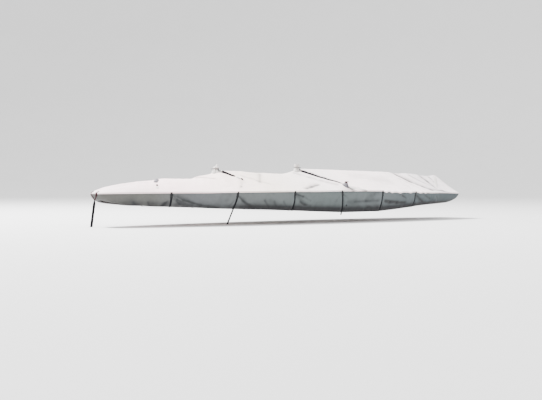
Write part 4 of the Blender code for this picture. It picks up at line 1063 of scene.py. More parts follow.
# ---------------------------------------------------------------- cloth pieces
def build_top():
    """The two panels of the top cloth, with turned-down edges and openings."""
    size = sizes()
    half_columns = round(TOP_HALF_GIRTH / size.top_pitch)
    spread = np.linspace(1, -1, 2 * half_columns + 1)
    last = len(SECTIONS) - 1
    panels = {
        "top_cloth_forward": (0, SEAM_SECTION, "top_forward"),
        "top_cloth_aft": (SEAM_SECTION, last, "top_aft"),
    }
    for name, (start, end, node) in panels.items():
        points = roof(spaced_places(start, end, size.top_pitch), spread)
        if start:
            points[0, :, 0] += PANEL_GAP
        edges = []
        for share in (0.5, 1.0):
            turned = points[:, [0, -1]].copy()
            turned[..., 2] -= VALANCE * share
            edges.append(turned)
        points = np.concatenate(
            [edges[1][:, :1], edges[0][:, :1], points, edges[0][:, 1:], edges[1][:, 1:]], axis=1
        )
        if end == last:
            # The edge over the stern turns down half as far, and its last row is doubled.
            row = points[-1].copy()
            row[2:-2, 2] -= VALANCE * 0.5
            points = np.concatenate([points, row[None], row[None]], axis=0)
        across = along_rows(points)
        uv = np.stack([across, points[..., 0]], axis=-1)
        mesh = grid_mesh(name, points, uv)
        x, y = points[..., 0], points[..., 1]
        # Painted shade in the hollows and creases of the top cloth.
        hollows = np.clip(-top_relief(x, y, np.zeros(x.shape)) / HOLLOW_DEPTH, BULGE_UNSHADED, 1)
        painted_shade = crease_shade(x, y, TOP_CREASES, TOP_CREASE_SPREAD) + TOP_HOLLOW_SHADE * hollows
        paint(mesh, "shade", np.clip(painted_shade, 0, TOP_DARKEST))
        for x, y in ((MAST_X, 0.0), (SHROUD_X, -SHROUD_HALF), (SHROUD_X, SHROUD_HALF)):
            open_hole(mesh, x, y, MAST_HOLE if y == 0 else STAY_HOLE)
        open_hole(mesh, BACKSTAY_X if start else FORESTAY_X, 0.0, STAY_HOLE)
        mesh.shade_smooth()
        piece = new_piece(name, mesh, finish("coated_canvas_white"), [node])
        thicken(piece, size.cloth, outward=False)


def side_relief(x, drop, height, side):
    """Outward height of folds, creases and puckers of one side."""
    relief = np.zeros(x.shape)
    y = drop * height + scallop(x, side)
    for x0, d0, x1, d1, half, rise, on_side, crisp in SIDE_FOLDS + SIDE_CREASES:
        if on_side == side:
            tall = float(np.median(height))
            relief += fold(x, y, (x0, d0 * tall), (x1, d1 * tall), half, (rise, rise), crisp)
    relief += 0.0060 * ripple(x, y, length=0.55, seed=31 + side)
    relief += 0.0026 * ripple(x, y, length=0.18, seed=33 + side)
    # Upright puckers above the hem, and lower ones under the seam with the top cloth.
    puckers = ripple(x, y * 0.25, length=0.085, seed=35 + side)
    puckers *= ripple(x, y * 0.2, length=0.6, seed=37 + side)
    relief += 0.0060 * puckers * fade(0.70, 0.97, drop)
    puckers = ripple(x, y * 0.3, length=0.11, seed=39 + side)
    relief += 0.0035 * puckers * (1 - fade(0.10, 0.32, drop))
    for at, slant, _ in STRAPS:
        off = x - at - slant * drop
        groove, swell = off / 0.045, (np.abs(off) - 0.09) / 0.035
        relief += -STRAP_PRESS * np.exp(-(groove**2)) * fade(0.10, 0.30, drop)
        relief += STRAP_PRESS * np.exp(-(swell**2)) * fade(0.2, 0.5, drop)
    return relief


def side_paint(x, drop, height, side):
    """Painted shade in the creases of one side, and painted shade that grows towards its hem."""
    y = drop * height + scallop(x, side)
    tall = float(np.median(height))
    rows = [
        (x0, d0 * tall, x1, d1 * tall, half, -abs(rise) * 1.3, -abs(rise), crisp)
        for x0, d0, x1, d1, half, rise, on_side, crisp in SIDE_CREASES
        if on_side == side and rise < 0
    ]
    creases = crease_shade(x, y, rows, SIDE_CREASE_SPREAD)
    # Painted shade that grows towards the hem, strongest amidships and uneven along the side.
    uneven = ripple(x, y, length=0.30, seed=41 + side)
    uneven = 0.5 + 0.5 * uneven * ripple(x, y, length=1.4, seed=43 + side)
    midships = fade(-3.4, -1.6, x) * (0.35 + 0.65 * fade(5.6, 4.0, x))
    shadow_tone = fade(0.60, 0.90, drop) * (0.20 + 0.75 * midships)
    shadow_tone += 0.42 * fade(0.30, 0.95, drop) * uneven * (0.6 + 0.4 * midships)
    # Darker low on the bow and towards the stern, and a painted shadow under the top's turned-down
    # edge.
    bow_darkening = np.exp(-(((x + 4.5) / 0.7) ** 2)) * fade(0.45, 0.85, drop)
    shadow_tone += 0.40 * bow_darkening * (0.5 + 0.5 * ripple(x, y, length=0.22, seed=45 + side))
    shadow_tone += 0.20 * fade(2.0, 5.4, x) * drop
    seam = SEAM_SHADOW * (1 - fade(0.04, 0.13, drop))
    return creases, np.clip(shadow_tone + seam, 0, SHADOW_TONE_DARKEST)


def build_sides():
    """The side cloth, from under the turned-down edge to the hem that turns in."""
    size = sizes()
    last = len(SECTIONS) - 1
    places = spaced_places(0, last, size.side_pitch)
    rows = section(places)
    stern = np.linspace(1, 0, round(STERN_HALF / size.side_pitch) + 1)[1:]
    for side, word in SIDE_NAMES.items():
        sheer = np.stack(
            [rows["sheer_x"], side * rows["sheer_half"],
             rows["sheer_z"] - scallop(rows["sheer_x"], side)], axis=-1,
        )
        hem = np.stack([rows["hem_x"], side * rows["hem_half"], rows["hem_z"]], axis=-1)
        transom = roof(np.array([float(last)]), side * stern)[0]
        corner = hem[-1]
        hem_stern = np.stack(
            [HEM_STERN_X + (corner[0] - HEM_STERN_X) * stern, corner[1] * stern,
             np.full(stern.shape, corner[2])], axis=-1,
        )
        sheer, hem = np.concatenate([sheer, transom]), np.concatenate([hem, hem_stern])
        along = np.gradient(sheer[:, :2], axis=0)
        along /= np.linalg.norm(along, axis=1)[:, None]
        out = np.stack([along[:, 1], -along[:, 0], np.zeros(len(along))], axis=-1) * -side
        inset = size.cloth + SEAM_GAP
        upper = sheer - out * inset
        shift = np.array([0, side * CENTRE_GAP, 0])
        for line in (upper, hem):
            line[[0, -1], 1] = 0.0
            line[[0, -1]] += shift
        count = round(SIDE_HEIGHT / size.side_pitch)
        drops = np.linspace(0, 1, count + 1)
        insets = through(column(SIDE, SIDE_COLUMNS, "drop"), column(SIDE, SIDE_COLUMNS, "inset"),
                         drops)
        points = upper[:, None] + (hem - upper)[:, None] * insets[None, :, None]
        start = upper[:, 2] - SKIRT_START
        points[..., 2] = start[:, None] + (hem[:, 2] - start)[:, None] * drops[None, :]
        height = (upper[:, 2] - hem[:, 2])[:, None] * np.ones((1, len(drops)))
        fall = drops[None, :] * np.ones((len(points), 1))
        shades, shadow_tones = side_paint(points[..., 0], fall, height, side)
        relief = side_relief(points[..., 0], fall, height, side)
        # Painted shade in the hollows of the side's folds.
        hollows = np.clip(-relief / HOLLOW_DEPTH, BULGE_UNSHADED, 1)
        shades = np.clip(shades + SIDE_HOLLOW_SHADE * hollows, 0, SIDE_DARKEST)
        # The relief dies out at the seam and on the centreline, and halves at the hem.
        relief *= fade(0.04, 0.25, fall) * (1 - 0.5 * fade(0.85, 1.0, fall))
        relief *= fade(0.02, 0.10, np.abs(points[..., 1]))
        points = points + out[:, None] * relief[..., None]
        lips = []
        for share in LIP_PLACES:
            inner = points[:, -1] - out * LIP * share
            inner[:, 2] += LIP_RISE * share - 0.004 * math.sin(math.pi * share)
            inner[[0, -1], 1] = points[[0, -1], -1, 1]
            lips.append(inner)
        points = np.concatenate([points, np.stack(lips, axis=1)], axis=1)
        shades = np.concatenate([shades, np.repeat(shades[:, -1:], len(lips), axis=1)], axis=1)
        # The turned-in hem is painted dark, as shade underneath the cover.
        lip_shade = np.maximum(shadow_tones[:, -1:], LIP_SHADOW)
        shadow_tones = np.concatenate([shadow_tones, np.repeat(lip_shade, len(lips), axis=1)], axis=1)
        run = run_along(points[:, 0])
        down = np.cumsum(
            np.linalg.norm(np.diff(points, axis=1, prepend=points[:, :1]), axis=2), axis=1
        )
        uv = np.stack([down, np.broadcast_to(run[:, None], down.shape)], axis=-1)
        if side == PORT:
            points, uv = points[:, ::-1], uv[:, ::-1]
            shades, shadow_tones = shades[:, ::-1], shadow_tones[:, ::-1]
        name = f"side_cloth_{word}"
        mesh = grid_mesh(name, np.ascontiguousarray(points), np.ascontiguousarray(uv))
        paint(mesh, "shade", shades)
        paint(mesh, "shadow_tone", shadow_tones)
        piece = new_piece(name, mesh, finish("coated_canvas_grey"),
                          [f"skirt_{word}"])
        thicken(piece, size.cloth, outward=False)


# ---------------------------------------------------------------- boots and ties
def boot(name, x, y, profile, gather, finish_name, slot, band):
    """A gathered sleeve that stands on the top cloth, with a binding round its neck.

    The gather is given by its depth, its number of folds and its seed.
    """
    depth, folds, seed = gather
    sides = BOOT_SIDES
    size = sizes()
    radii = column(profile, BOOT_COLUMNS, "radius")
    follows = column(profile, BOOT_COLUMNS, "follow")
    levels = column(profile, BOOT_COLUMNS, "level")
    leans = column(profile, BOOT_COLUMNS, "lean")
    index = np.arange(len(profile), dtype=float)
    fine = np.linspace(0, len(profile) - 1, 5 * (len(profile) - 1) + 1)
    dice = np.random.default_rng(seed)
    phases = dice.uniform(0, 2 * math.pi, 3)
    rings, valleys = [], []
    for place in fine:
        radius = float(through(index, radii, place))
        follow = float(through(index, follows, place))
        lean = float(through(index, leans, place))
        level = float(through(index[1:], levels[1:], max(place, 1)))
        ring = []
        valleys.append([])
        for n in range(sides):
            angle = 2 * math.pi * n / sides
            # Three sets of folds, shallow where the sleeve lies on the cloth.
            wave = math.cos(folds * angle + phases[0])
            wave += 0.6 * math.cos((folds * 2 - 3) * angle + phases[1])
            wave += 0.4 * math.cos((folds + 5) * angle + phases[2])
            reach = radius * (1 + depth * (0.25 + 0.75 * (1 - follow)) * wave / 2)
            px, py = x + lean + reach * math.cos(angle), y + reach * math.sin(angle)
            # Painted shade in the valleys of the gathers and at the foot, where the sleeve lies on
            # the cloth.
            painted_shade = min(max(-wave, 0.0), 1.6) * BOOT_VALLEY_SHADE
            valleys[-1].append(painted_shade + BOOT_FOOT_SHADE * fade(0.6, 1.0, follow))
            draped = cloth().top(px, py)
            draped = level if draped is None else draped + size.patch_lift
            if draped < level - OPEN_BELOW:
                draped = level
            ring.append(Vector((px, py, draped * follow + level * (1 - follow))))
        rings.append(ring)
    settle_on_top(rings, closed=True)
    points = as_grid(rings)
    turn = np.arange(sides + 1) / sides * 2 * math.pi * float(radii.mean())
    uv = np.stack(np.meshgrid(turn, run_along(points[:, 0])), axis=-1)
    mesh = grid_mesh(name, points, uv, closed=True)
    paint(mesh, "shade", valleys)
    low, full, fading, high, aft = band
    bound = fade(low, full, points[..., 2]) * (1 - fade(fading, high, points[..., 2]))
    bound = bound * fade(x + aft, x + aft + BAND_EDGE, points[..., 0])
    paint(mesh, "binding", bound)
    if radii[-1] < 0.01:
        fill_holes(mesh, lambda place: place.z > levels[-1] - 0.02)
    piece = new_piece(name + "_sewn", mesh, finish(finish_name), [name])
    thicken(piece, size.cloth, outward=True)
    return piece


def tube(name, path, radius, sides, finish_name, nodes):
    """A round cord along a path, with closed ends and a UV map in metres."""
    path = [Vector(p) for p in path]
    rings, run, up = [], [0.0], Vector((0, 0, 1))
    for k, place in enumerate(path):
        ahead = path[min(k + 1, len(path) - 1)] - path[max(k - 1, 0)]
        along = ahead.normalized()
        aside = along.cross(up).normalized()
        over = aside.cross(along)
        rings.append([
            place + (aside * math.cos(a) + over * math.sin(a)) * radius
            for a in (2 * math.pi * n / sides for n in range(sides))
        ])
        if k:
            run.append(run[-1] + (place - path[k - 1]).length)
    turn = np.arange(sides + 1) / sides * 2 * math.pi * radius
    uv = np.stack(np.meshgrid(turn, np.array(run)), axis=-1)
    mesh = grid_mesh(name, as_grid(rings), uv, closed=True)
    fill_holes(mesh, lambda place: True, outward=True)
    return new_piece(name + "_cord", mesh, finish(finish_name), nodes)


TIE_OPENING = 22.0       # degrees from the way the ends point to where the ring begins
TIE_GAP = 0.0003


def neck_tie(name, neck, x, y, z, tails, finish_name):
    """A cord drawn round the neck of a boot, with two free ends that hang side by side."""
    radius = sizes().cord_radius
    shell = Surfaces([neck])
    widest = 0.0
    for n in range(96):
        out = Vector((math.cos(n * math.pi / 48), math.sin(n * math.pi / 48), 0))
        for level in (-0.6, -0.3, 0.0, 0.3, 0.6):
            start = Vector((x, y, z + level * radius)) + out
            hollow = radius * (1 - math.sqrt(1 - level**2))
            hit = shell.first(start, -out)
            widest = max(widest, (hit - Vector((x, y, start.z))).length - hollow)
    ring = widest + radius + TIE_GAP
    heading = math.atan2(tails[1] - y, tails[0] - x)
    opening = math.radians(TIE_OPENING)
    turns = 40
    loop = []
    for n in range(turns + 1):
        angle = heading + opening + (2 * math.pi - 2 * opening) * n / turns
        loop.append(Vector((x + ring * math.cos(angle), y + ring * math.sin(angle), z)))
    apart = Vector((-math.sin(heading), math.cos(heading), 0)) * radius * 1.6
    end = Vector(tails)
    path = []
    for share in (1.0, 0.75, 0.5, 0.25):
        path.append(loop[0].lerp(end + apart, share) - Vector((0, 0, 0.004 * share)))
    path += loop
    for share in (0.25, 0.5, 0.75, 1.0):
        path.append(loop[-1].lerp(end - apart, share) - Vector((0, 0, 0.002 * share)))
    piece = tube(name, path, radius, 12, finish_name, [name])


def build_mast_boots():
    """The round collar and the two grey boots, each with its tie."""
    collar = boot("mast_collar", MAST_X, 0, MAST_COLLAR, (0.05, 9, 3), "coated_canvas_patch",
                  "white_patch", MAST_BAND)
    neck_tie("mast_tie", collar, MAST_X, 0, 0.650, (0.300, -0.045, 0.648),
             "braided_polyester_cord")
    for side, word in SIDE_NAMES.items():
        x, y = SHROUD_X, side * SHROUD_HALF
        sleeve = boot(f"shroud_boot_{word}", x, y, SHROUD_BOOT, (0.10, 6, 5 + side),
                      "coated_canvas_boot", "grey_boot", SHROUD_BAND)
        x += SHROUD_TIE_LEAN
        neck_tie(f"shroud_tie_{word}", sleeve, x, y, 0.272, (x + 0.062, y + side * 0.02, 0.268),
                 "polyester_webbing_red")


def build_forward_boot():
    """The gathered cap at the forward peak, its ear of cloth and its tie."""
    x = FORE_PEAK_X
    cap = boot("forward_boot", x, 0, FORWARD_BOOT, (0.12, 8, 8), "coated_canvas_patch",
               "white_patch", FORWARD_BAND)
    neck_tie("forward_tie", cap, x, 0, 0.588, (x - 0.150, -0.010, 0.588),
             "braided_polyester_cord")
    heights = [row[0] for row in FORWARD_EAR]
    rows = []
    for z in np.linspace(heights[0], heights[-1], 13):
        half = float(through(heights, [row[1] for row in FORWARD_EAR], z))
        lean = float(through(heights, [row[2] for row in FORWARD_EAR], z))
        row = []
        for c in np.linspace(1, -1, 13):
            curl = 0.006 * math.cos(7 * c) * (z - heights[0]) / (heights[-1] - heights[0])
            row.append(Vector((x + lean + 0.004 * abs(c) + curl, c * half, z)))
        rows.append(row)
    ribbon("forward_ear_sewn", rows, EAR_THICK, "coated_canvas_patch",
           ["forward_ear"])


# ---------------------------------------------------------------- patches and closures
# Strips on the top cloth: CAD node, both ends, finish and slot. An end is given by x, y,
# width and how high the strip arches along its middle.
PATCHES = (
    ("forward_closure", (-2.307, -0.124, 0.072, 0.052), (-2.095, -0.424, 0.042, 0.036),
     "hook_and_loop_tape", "dark_grip_tape"),
    ("forward_tab", (-2.079, -0.447, 0.085, 0.014), (-2.016, -0.536, 0.070, 0.014),
     "coated_canvas_patch", "white_patch"),
    ("forward_toggle", (-1.994, -0.530, 0.058, 0.028), (-1.948, -0.560, 0.044, 0.028),
     "hook_and_loop_tape", "dark_grip_tape"),
    ("forestay_patch", (-4.135, -0.050, 0.125, 0.038), (-4.290, -0.265, 0.095, 0.030),
     "coated_canvas_boot", "grey_boot"),
    ("forestay_toggle", (-4.345, -0.428, 0.058, 0.027), (-4.368, -0.474, 0.048, 0.027),
     "hook_and_loop_tape", "dark_grip_tape"),
    ("forestay_tab", (-4.382, -0.500, 0.070, 0.0), (-4.425, -0.585, 0.055, 0.0),
     "coated_canvas_patch", "white_patch"),
    ("backstay_flap", (5.390, -0.075, 0.085, 0.0), (4.900, -0.640, 0.070, 0.0),
     "coated_canvas_patch", "white_patch"),
)
# The strip over the opening between the top panels: width and arch of its inner and its
# outer end, and how far it stops short of the collar's and of the grey boot's middle.
CLOSURE_ENDS = ((0.076, 0.044), (0.036, 0.016))
CLOSURE_START = 0.128
CLOSURE_STOP = 0.094
SHROUD_FLAP = ((1.035, 1.150, 0.130), (1.560, 1.240, 0.035))   # x, y and width of its ends


def patch(node, start, end, finish_name, slot):
    """A strip of cloth or tape that lies on the top cloth from start to end."""
    length = math.hypot(end[0] - start[0], end[1] - start[1])
    count = max(4, round(length / 0.018))
    along = Vector((end[0] - start[0], end[1] - start[1])) / length
    across = Vector((along.y, -along.x))
    rows = []
    for k in range(count + 1):
        share = k / count
        x, y, width, arch = (start[n] + (end[n] - start[n]) * share for n in range(4))
        corner = 1 - 0.25 * (abs(2 * share - 1) ** 24)
        arch *= 1 - 0.6 * abs(2 * share - 1) ** 12
        run = length * share
        arch *= 1 + 0.05 * math.sin(run / 0.045) + 0.04 * math.sin(run / 0.017)
        row = []
        for part in np.linspace(-0.5, 0.5, 9):
            spot = Vector((x, y)) + across * width * float(part) * corner
            height = cloth().top(spot.x, spot.y) + arch * math.cos(math.pi * part) ** 1.3
            row.append(Vector((spot.x, spot.y, height + sizes().patch_lift)))
        rows.append(row)
    settle_on_top(rows)
    ribbon(node + "_sewn", rows, sizes().patch_thick, finish_name, [node])


def build_patches():
    """All strips, tabs and flaps sewn or stuck on the top cloth."""
    for row in PATCHES:
        patch(*row)
    for side, word in SIDE_NAMES.items():
        foot = Vector((SHROUD_X, side * SHROUD_HALF))
        mast = Vector((MAST_X, 0))
        away = (foot - mast).normalized()
        start, end = mast + away * CLOSURE_START, foot - away * CLOSURE_STOP
        patch(f"shroud_closure_{word}", (*start, *CLOSURE_ENDS[0]), (*end, *CLOSURE_ENDS[1]),
              "hook_and_loop_tape", "dark_grip_tape")
        ends = ((x, side * y, width, 0.0) for x, y, width in SHROUD_FLAP)
        patch(f"shroud_flap_{word}", *ends, "coated_canvas_patch", "white_patch")


# ---------------------------------------------------------------- straps and buckles
STRAP_TAIL = 0.090       # strap end that turns in under the hem on starboard
BUCKLE_DROP = 0.096      # middle of a buckle below the sheer
BOW_STRAP_HALF = 0.030
BOW_STRAP_TURN = 1.1     # radians that the strap at the bow turns on its way down
BOW_STRAP_TOP = (-5.7516, 0, -0.166)
BOW_STRAP_FOOT = (-5.8400, 0, -0.790)
BRIDLE_HALF = 0.030
BRIDLE_REACH = 0.137     # the middle of each leg of the bridle, from the centreline
BRIDLE_JOINT = (-5.745, 0, -0.165)
BRIDLE_ON_TOP = (-5.710, -5.722, -5.735, -5.748)   # X of its rows on the top cloth
BRIDLE_FOOT = (-0.042, -0.0175, 0.007)             # its lower end, up from the joint
BELLY_DROP = 0.006
BELLY_SAG = 0.010


class StrapPlace:
    """Where a strap crosses the sheer: the point, the way out and the way aft."""

    def __init__(self, x, side, slant):
        fine = np.linspace(0, len(SECTIONS) - 1, 4000)
        rows = section(fine)
        at = int(np.argmin(np.abs(rows["sheer_x"] - x)))
        sheer = np.stack([rows["sheer_x"], side * rows["sheer_half"],
                          rows["sheer_z"] - scallop(rows["sheer_x"], side)], axis=-1)
        along = sheer[at + 1] - sheer[at - 1]
        self.side, self.slant = side, slant
        self.foot = Vector(sheer[at])
        self.aft = Vector((along[0], along[1], 0)).normalized()
        self.out = Vector((self.aft.y, -self.aft.x, 0)) * -side
        self.hem_z = float(rows["hem_z"][at])

    def across(self, z):
        """Points over the strap's width that lie on the cloth at height z."""
        down = (self.foot.z - z) / (self.foot.z - self.hem_z)
        row = []
        for share in (0.5, 0.0, -0.5):
            foot = self.foot + self.aft * (sizes().webbing * share + self.slant * down)
            row.append(cloth().side(foot, self.out, z) + self.out * sizes().strap_lift)
        return row

    def is_on_side(self, point):
        return point is not None and point.y * self.side > 0

    def hem_height(self):
        """The height at which the side cloth ends below this place."""
        z = self.hem_z + 0.04
        foot = self.foot + self.aft * self.slant
        while self.is_on_side(cloth().side(foot, self.out, z - 0.001)):
            z -= 0.001
        return z

    def fall(self):
        """Rows of points from the sheer down the side and round the hem's edge."""
        lift = sizes().strap_lift

        def short_by(point):
            hit = cloth().side(point, self.out, point.z)
            return (hit - point).dot(self.out) + lift if self.is_on_side(hit) else 0.0

        # Close rows where the strap steps over the turned-down edge, then even ones.
        top, hem = self.foot.z, self.hem_height()
        heights = [top - 0.004, top - 0.012, top - VALANCE + 0.002, top - VALANCE - 0.004,
                   top - VALANCE - 0.014]
        count = 16
        step = (heights[-1] - hem - 0.010) / count
        heights += [heights[-1] - step * (n + 1) for n in range(count)]
        rows = [self.across(z) for z in heights]
        rows.append([Vector((p.x, p.y, hem - lift - 0.0030)) for p in rows[-1]])
        return settle(rows, short_by, self.out)


def belly_strap(number, x):
    """A strap sewn on at both sheers that passes underneath from side to side."""
    down = StrapPlace(x, PORT, 0.0).fall()
    up = list(reversed(StrapPlace(x, STARBOARD, 0.0).fall()))
    left, right = down[-1][1], up[0][1]
    under = []
    for share in np.concatenate([[0.02, 0.05], np.linspace(0.1, 0.9, 17), [0.95, 0.98]]):
        middle = left.lerp(right, float(share))
        q = 2 * float(share) - 1
        middle.z -= BELLY_DROP * float(fade(0.0, 0.1, 1 - abs(q))) + BELLY_SAG * (1 - q * q)
        half = sizes().webbing / 2
        under.append([middle + Vector((half * s, 0, 0)) for s in (1, 0, -1)])
    node = f"belly_strap_{number}"
    ribbon(node + "_web", down + under + up, sizes().webbing_thick,
           "polyester_webbing_dark", [node])


def tie_strap(number, x, slant, lower_end, side):
    """A strap with a plain sewn end: tied down on port, short under the hem opposite."""
    fall = StrapPlace(x, side, slant).fall()
    start = list(fall[-1])
    if side == PORT:
        shift = Vector(lower_end) - start[1]
    else:
        shift = Vector((0, -side * STRAP_TAIL, -0.004))
    for share in np.linspace(0, 1, 13)[1:]:
        fall.append([p + shift * float(share) for p in start])
    if side == STARBOARD:
        fall.reverse()
    node = f"tie_strap_{number}_{SIDE_NAMES[side]}"
    ribbon(node + "_web", fall, sizes().webbing_thick, "polyester_webbing_dark",
           [node])


def build_straps():
    """The six straps on each side, buckles not included."""
    for number, (x, slant, lower_end) in enumerate(STRAPS, start=1):
        if lower_end is None:
            belly_strap(number, x)
            continue
        for side in SIDE_NAMES:
            tie_strap(number, x, slant, lower_end, side)


def bevelled_box(work, low, high, bevel):
    """A box with rounded edges, added to a bmesh."""
    made = bmesh.ops.create_cube(work, size=1.0)["verts"]
    for vert in made:
        for k in range(3):
            vert.co[k] = low[k] if vert.co[k] < 0 else high[k]
    edges = list({edge for vert in made for edge in vert.link_edges})
    bmesh.ops.bevel(work, geom=edges, offset=bevel, segments=2, affect="EDGES", profile=0.5)


# The boxes of a buckle, low and high corner: the bar, the frame and its two sides, the two
# prongs and the tongue, the body, its two sides and its bar, and the four grips.
BUCKLE_BOXES = (
    ((-0.031, -0.052, 0.0), (0.031, -0.045, 0.011)),
    ((-0.031, -0.038, 0.0), (0.031, -0.004, 0.012)),
    ((-0.031, -0.046, 0.001), (-0.025, -0.037, 0.010)),
    ((0.025, -0.046, 0.001), (0.031, -0.037, 0.010)),
    ((-0.030, -0.005, 0.002), (-0.023, 0.021, 0.010)),
    ((0.023, -0.005, 0.002), (0.030, 0.021, 0.010)),
    ((-0.019, -0.005, 0.001), (0.019, 0.021, 0.009)),
    ((-0.031, 0.020, 0.0), (0.031, 0.034, 0.012)),
    ((-0.031, 0.033, 0.001), (-0.025, 0.046, 0.010)),
    ((0.025, 0.033, 0.001), (0.031, 0.046, 0.010)),
    ((-0.031, 0.045, 0.0), (0.031, 0.052, 0.010)),
    ((-0.017, -0.033, 0.0122), (0.017, -0.031, 0.0130)),
    ((-0.017, -0.026, 0.0122), (0.017, -0.024, 0.0130)),
    ((-0.017, -0.019, 0.0122), (0.017, -0.017, 0.0130)),
    ((-0.017, -0.012, 0.0122), (0.017, -0.010, 0.0130)),
)
BUCKLE_HALF = 0.052      # half the length of a buckle
BUCKLE_GAP = 0.0004
GRIP_LOW = 0.012         # what starts above this height is a grip, with a finer bevel


def one_buckle():
    """A side-release buckle, face up: X across, Y down the strap, Z out."""
    work = bmesh.new()
    for low, high in BUCKLE_BOXES:
        bevelled_box(work, low, high, 0.0003 if low[2] > GRIP_LOW else 0.0011)
    mesh = bpy.data.meshes.new("buckle_shape")
    work.to_mesh(mesh)
    work.free()
    mesh.shade_smooth()
    return mesh


def repeat_on_points(name, spots, turns, shape, material):
    """Geometry Nodes: one shape set on each point with its own turn, as a plain mesh."""
    cloud = bpy.data.meshes.new(name + "_points")
    cloud.from_pydata([tuple(p) for p in spots], [], [])
    layer = cloud.attributes.new(name="turn", type="FLOAT_VECTOR", domain="POINT")
    layer.data.foreach_set("vector", np.array(turns, dtype=np.float32).ravel())
    holder = bpy.data.objects.new(name + "_holder", cloud)
    bpy.context.scene.collection.objects.link(holder)
    pattern = bpy.data.objects.new(name + "_pattern", shape)
    bpy.context.scene.collection.objects.link(pattern)
    tree = bpy.data.node_groups.new(name + "_tree", "GeometryNodeTree")
    tree.interface.new_socket("Geometry", in_out="INPUT", socket_type="NodeSocketGeometry")
    item = tree.interface.new_socket("Shape", in_out="INPUT", socket_type="NodeSocketObject")
    paint_with = tree.interface.new_socket(
        "Material", in_out="INPUT", socket_type="NodeSocketMaterial"
    )
    tree.interface.new_socket("Geometry", in_out="OUTPUT", socket_type="NodeSocketGeometry")
    entry = add(tree, "NodeGroupInput")
    info = add(tree, "GeometryNodeObjectInfo", None, {"Object": entry.outputs["Shape"]})
    turn = add(tree, "GeometryNodeInputNamedAttribute", {"data_type": "FLOAT_VECTOR"},
               {"Name": "turn"})
    facing = add(tree, "FunctionNodeEulerToRotation", None,
                 {"Euler": turn.outputs["Attribute"]})
    copies = add(tree, "GeometryNodeInstanceOnPoints", None, {
        "Points": entry.outputs["Geometry"], "Instance": info.outputs["Geometry"],
        "Rotation": facing.outputs["Rotation"],
    })
    real = add(tree, "GeometryNodeRealizeInstances", None, {"Geometry": copies.outputs[0]})
    painted = add(tree, "GeometryNodeSetMaterial", None, {
        "Geometry": real.outputs["Geometry"], "Material": entry.outputs["Material"],
    })
    exit_node = add(tree, "NodeGroupOutput")
    tree.links.new(painted.outputs["Geometry"], exit_node.inputs["Geometry"])
    modifier = holder.modifiers.new("repeat", "NODES")
    modifier.node_group = tree
    modifier[item.identifier] = pattern
    modifier[paint_with.identifier] = material
    bpy.context.view_layer.update()
    graph = bpy.context.evaluated_depsgraph_get()
    mesh = bpy.data.meshes.new_from_object(holder.evaluated_get(graph))
    mesh.name = name
    for thing in (holder, pattern):
        bpy.data.objects.remove(thing, do_unlink=True)
    return mesh


def build_buckles():
    """A side-release buckle on each strap, seated just below the turned-down edge."""
    spots, turns, nodes = [], [], []
    for number, (x, slant, lower_end) in enumerate(STRAPS, start=1):
        for side, word in SIDE_NAMES.items():
            web = f"belly_strap_{number}_web" if lower_end is None else (
                f"tie_strap_{number}_{word}_web")
            shell = Surfaces([bpy.data.objects[web]])
            place = StrapPlace(x, side, slant)
            lean = slant / (place.foot.z - place.hem_z)
            seats = []
            for along in np.linspace(-BUCKLE_HALF, BUCKLE_HALF, 9):
                for share in (0, -0.48, -0.24, 0.24, 0.48):
                    aft = sizes().webbing * share + lean * (BUCKLE_DROP + along)
                    foot = place.foot + place.aft * aft
                    seats.append(shell.side(foot, place.out, place.foot.z - BUCKLE_DROP - along))
            upper, lower = seats[0], seats[-5]
            down = (lower - upper).normalized()
            out = down.cross(place.aft * -side).normalized()
            width = out.cross(down)
            proud = max((seat - upper).dot(out) for seat in seats)
            spots.append(upper.lerp(lower, 0.5) + out * (proud + BUCKLE_GAP))
            turn = Matrix((width, down, width.cross(down))).transposed()
            turns.append(tuple(turn.to_euler()))
            nodes.append(f"buckle_{number}_{word}")
    shape = one_buckle()
    mesh = repeat_on_points("buckles", spots, turns, shape, finish("moulded_acetal"))
    new_piece("side_release_buckles", mesh, finish("moulded_acetal"), nodes)


def build_bow():
    """The red bridle over the nose of the cover and the strap that holds it down."""
    legs = []
    for shift in (1, 0, -1):
        y = PORT * (BRIDLE_REACH + BRIDLE_HALF * shift)
        edge = cloth().first(Vector((-7, y, -0.012)), Vector((1, 0, 0))).x
        line = [Vector((x, y, cloth().top(x, y) + sizes().patch_lift))
                for x in (*BRIDLE_ON_TOP, edge + 0.006)]
        line += [Vector((edge - 0.0025, y, 0.009)), Vector((edge - 0.0025, y, -0.014)),
                 Vector((edge - 0.0025, y, -0.032))]
        legs.append(line)
    rows = settle_on_top([list(row) for row in zip(*legs)])
    end = [Vector(BRIDLE_JOINT) + Vector((0, 0, rise)) for rise in BRIDLE_FOOT]
    foot = list(rows[-1])
    for share in (0.25, 0.5, 0.75):
        rows.append([p.lerp(q, share) for p, q in zip(foot, end)])
    mirrored = [[Vector((p.x, -p.y, p.z)) for p in row] for row in reversed(rows)]
    ribbon("bow_bridle_web", rows + [end] + mirrored, sizes().webbing_thick,
           "polyester_webbing_red", ["bow_bridle"])
    top, low = Vector(BOW_STRAP_TOP), Vector(BOW_STRAP_FOOT)
    fall = []
    for n in range(33):
        share = n / 32
        turn = BOW_STRAP_TURN * float(fade(0.0, 0.22, share))
        middle = top.lerp(low, share)
        aside = Vector((-math.sin(turn), math.cos(turn), 0)) * BOW_STRAP_HALF
        fall.append([middle + aside * s for s in (-1, 0, 1)])
    ribbon("bow_strap_web", fall, sizes().webbing_thick, "polyester_webbing_dark",
           ["bow_strap"])


SIDE_PATCH_X, SIDE_PATCH_Z = 0.880, -0.352
SIDE_PATCH_RINGS = (0.028, 0.0275, 0.021, 0.011, 0.0005)
SIDE_PATCH_SIDES = 32
SIDE_PATCH_GAP = 0.0006


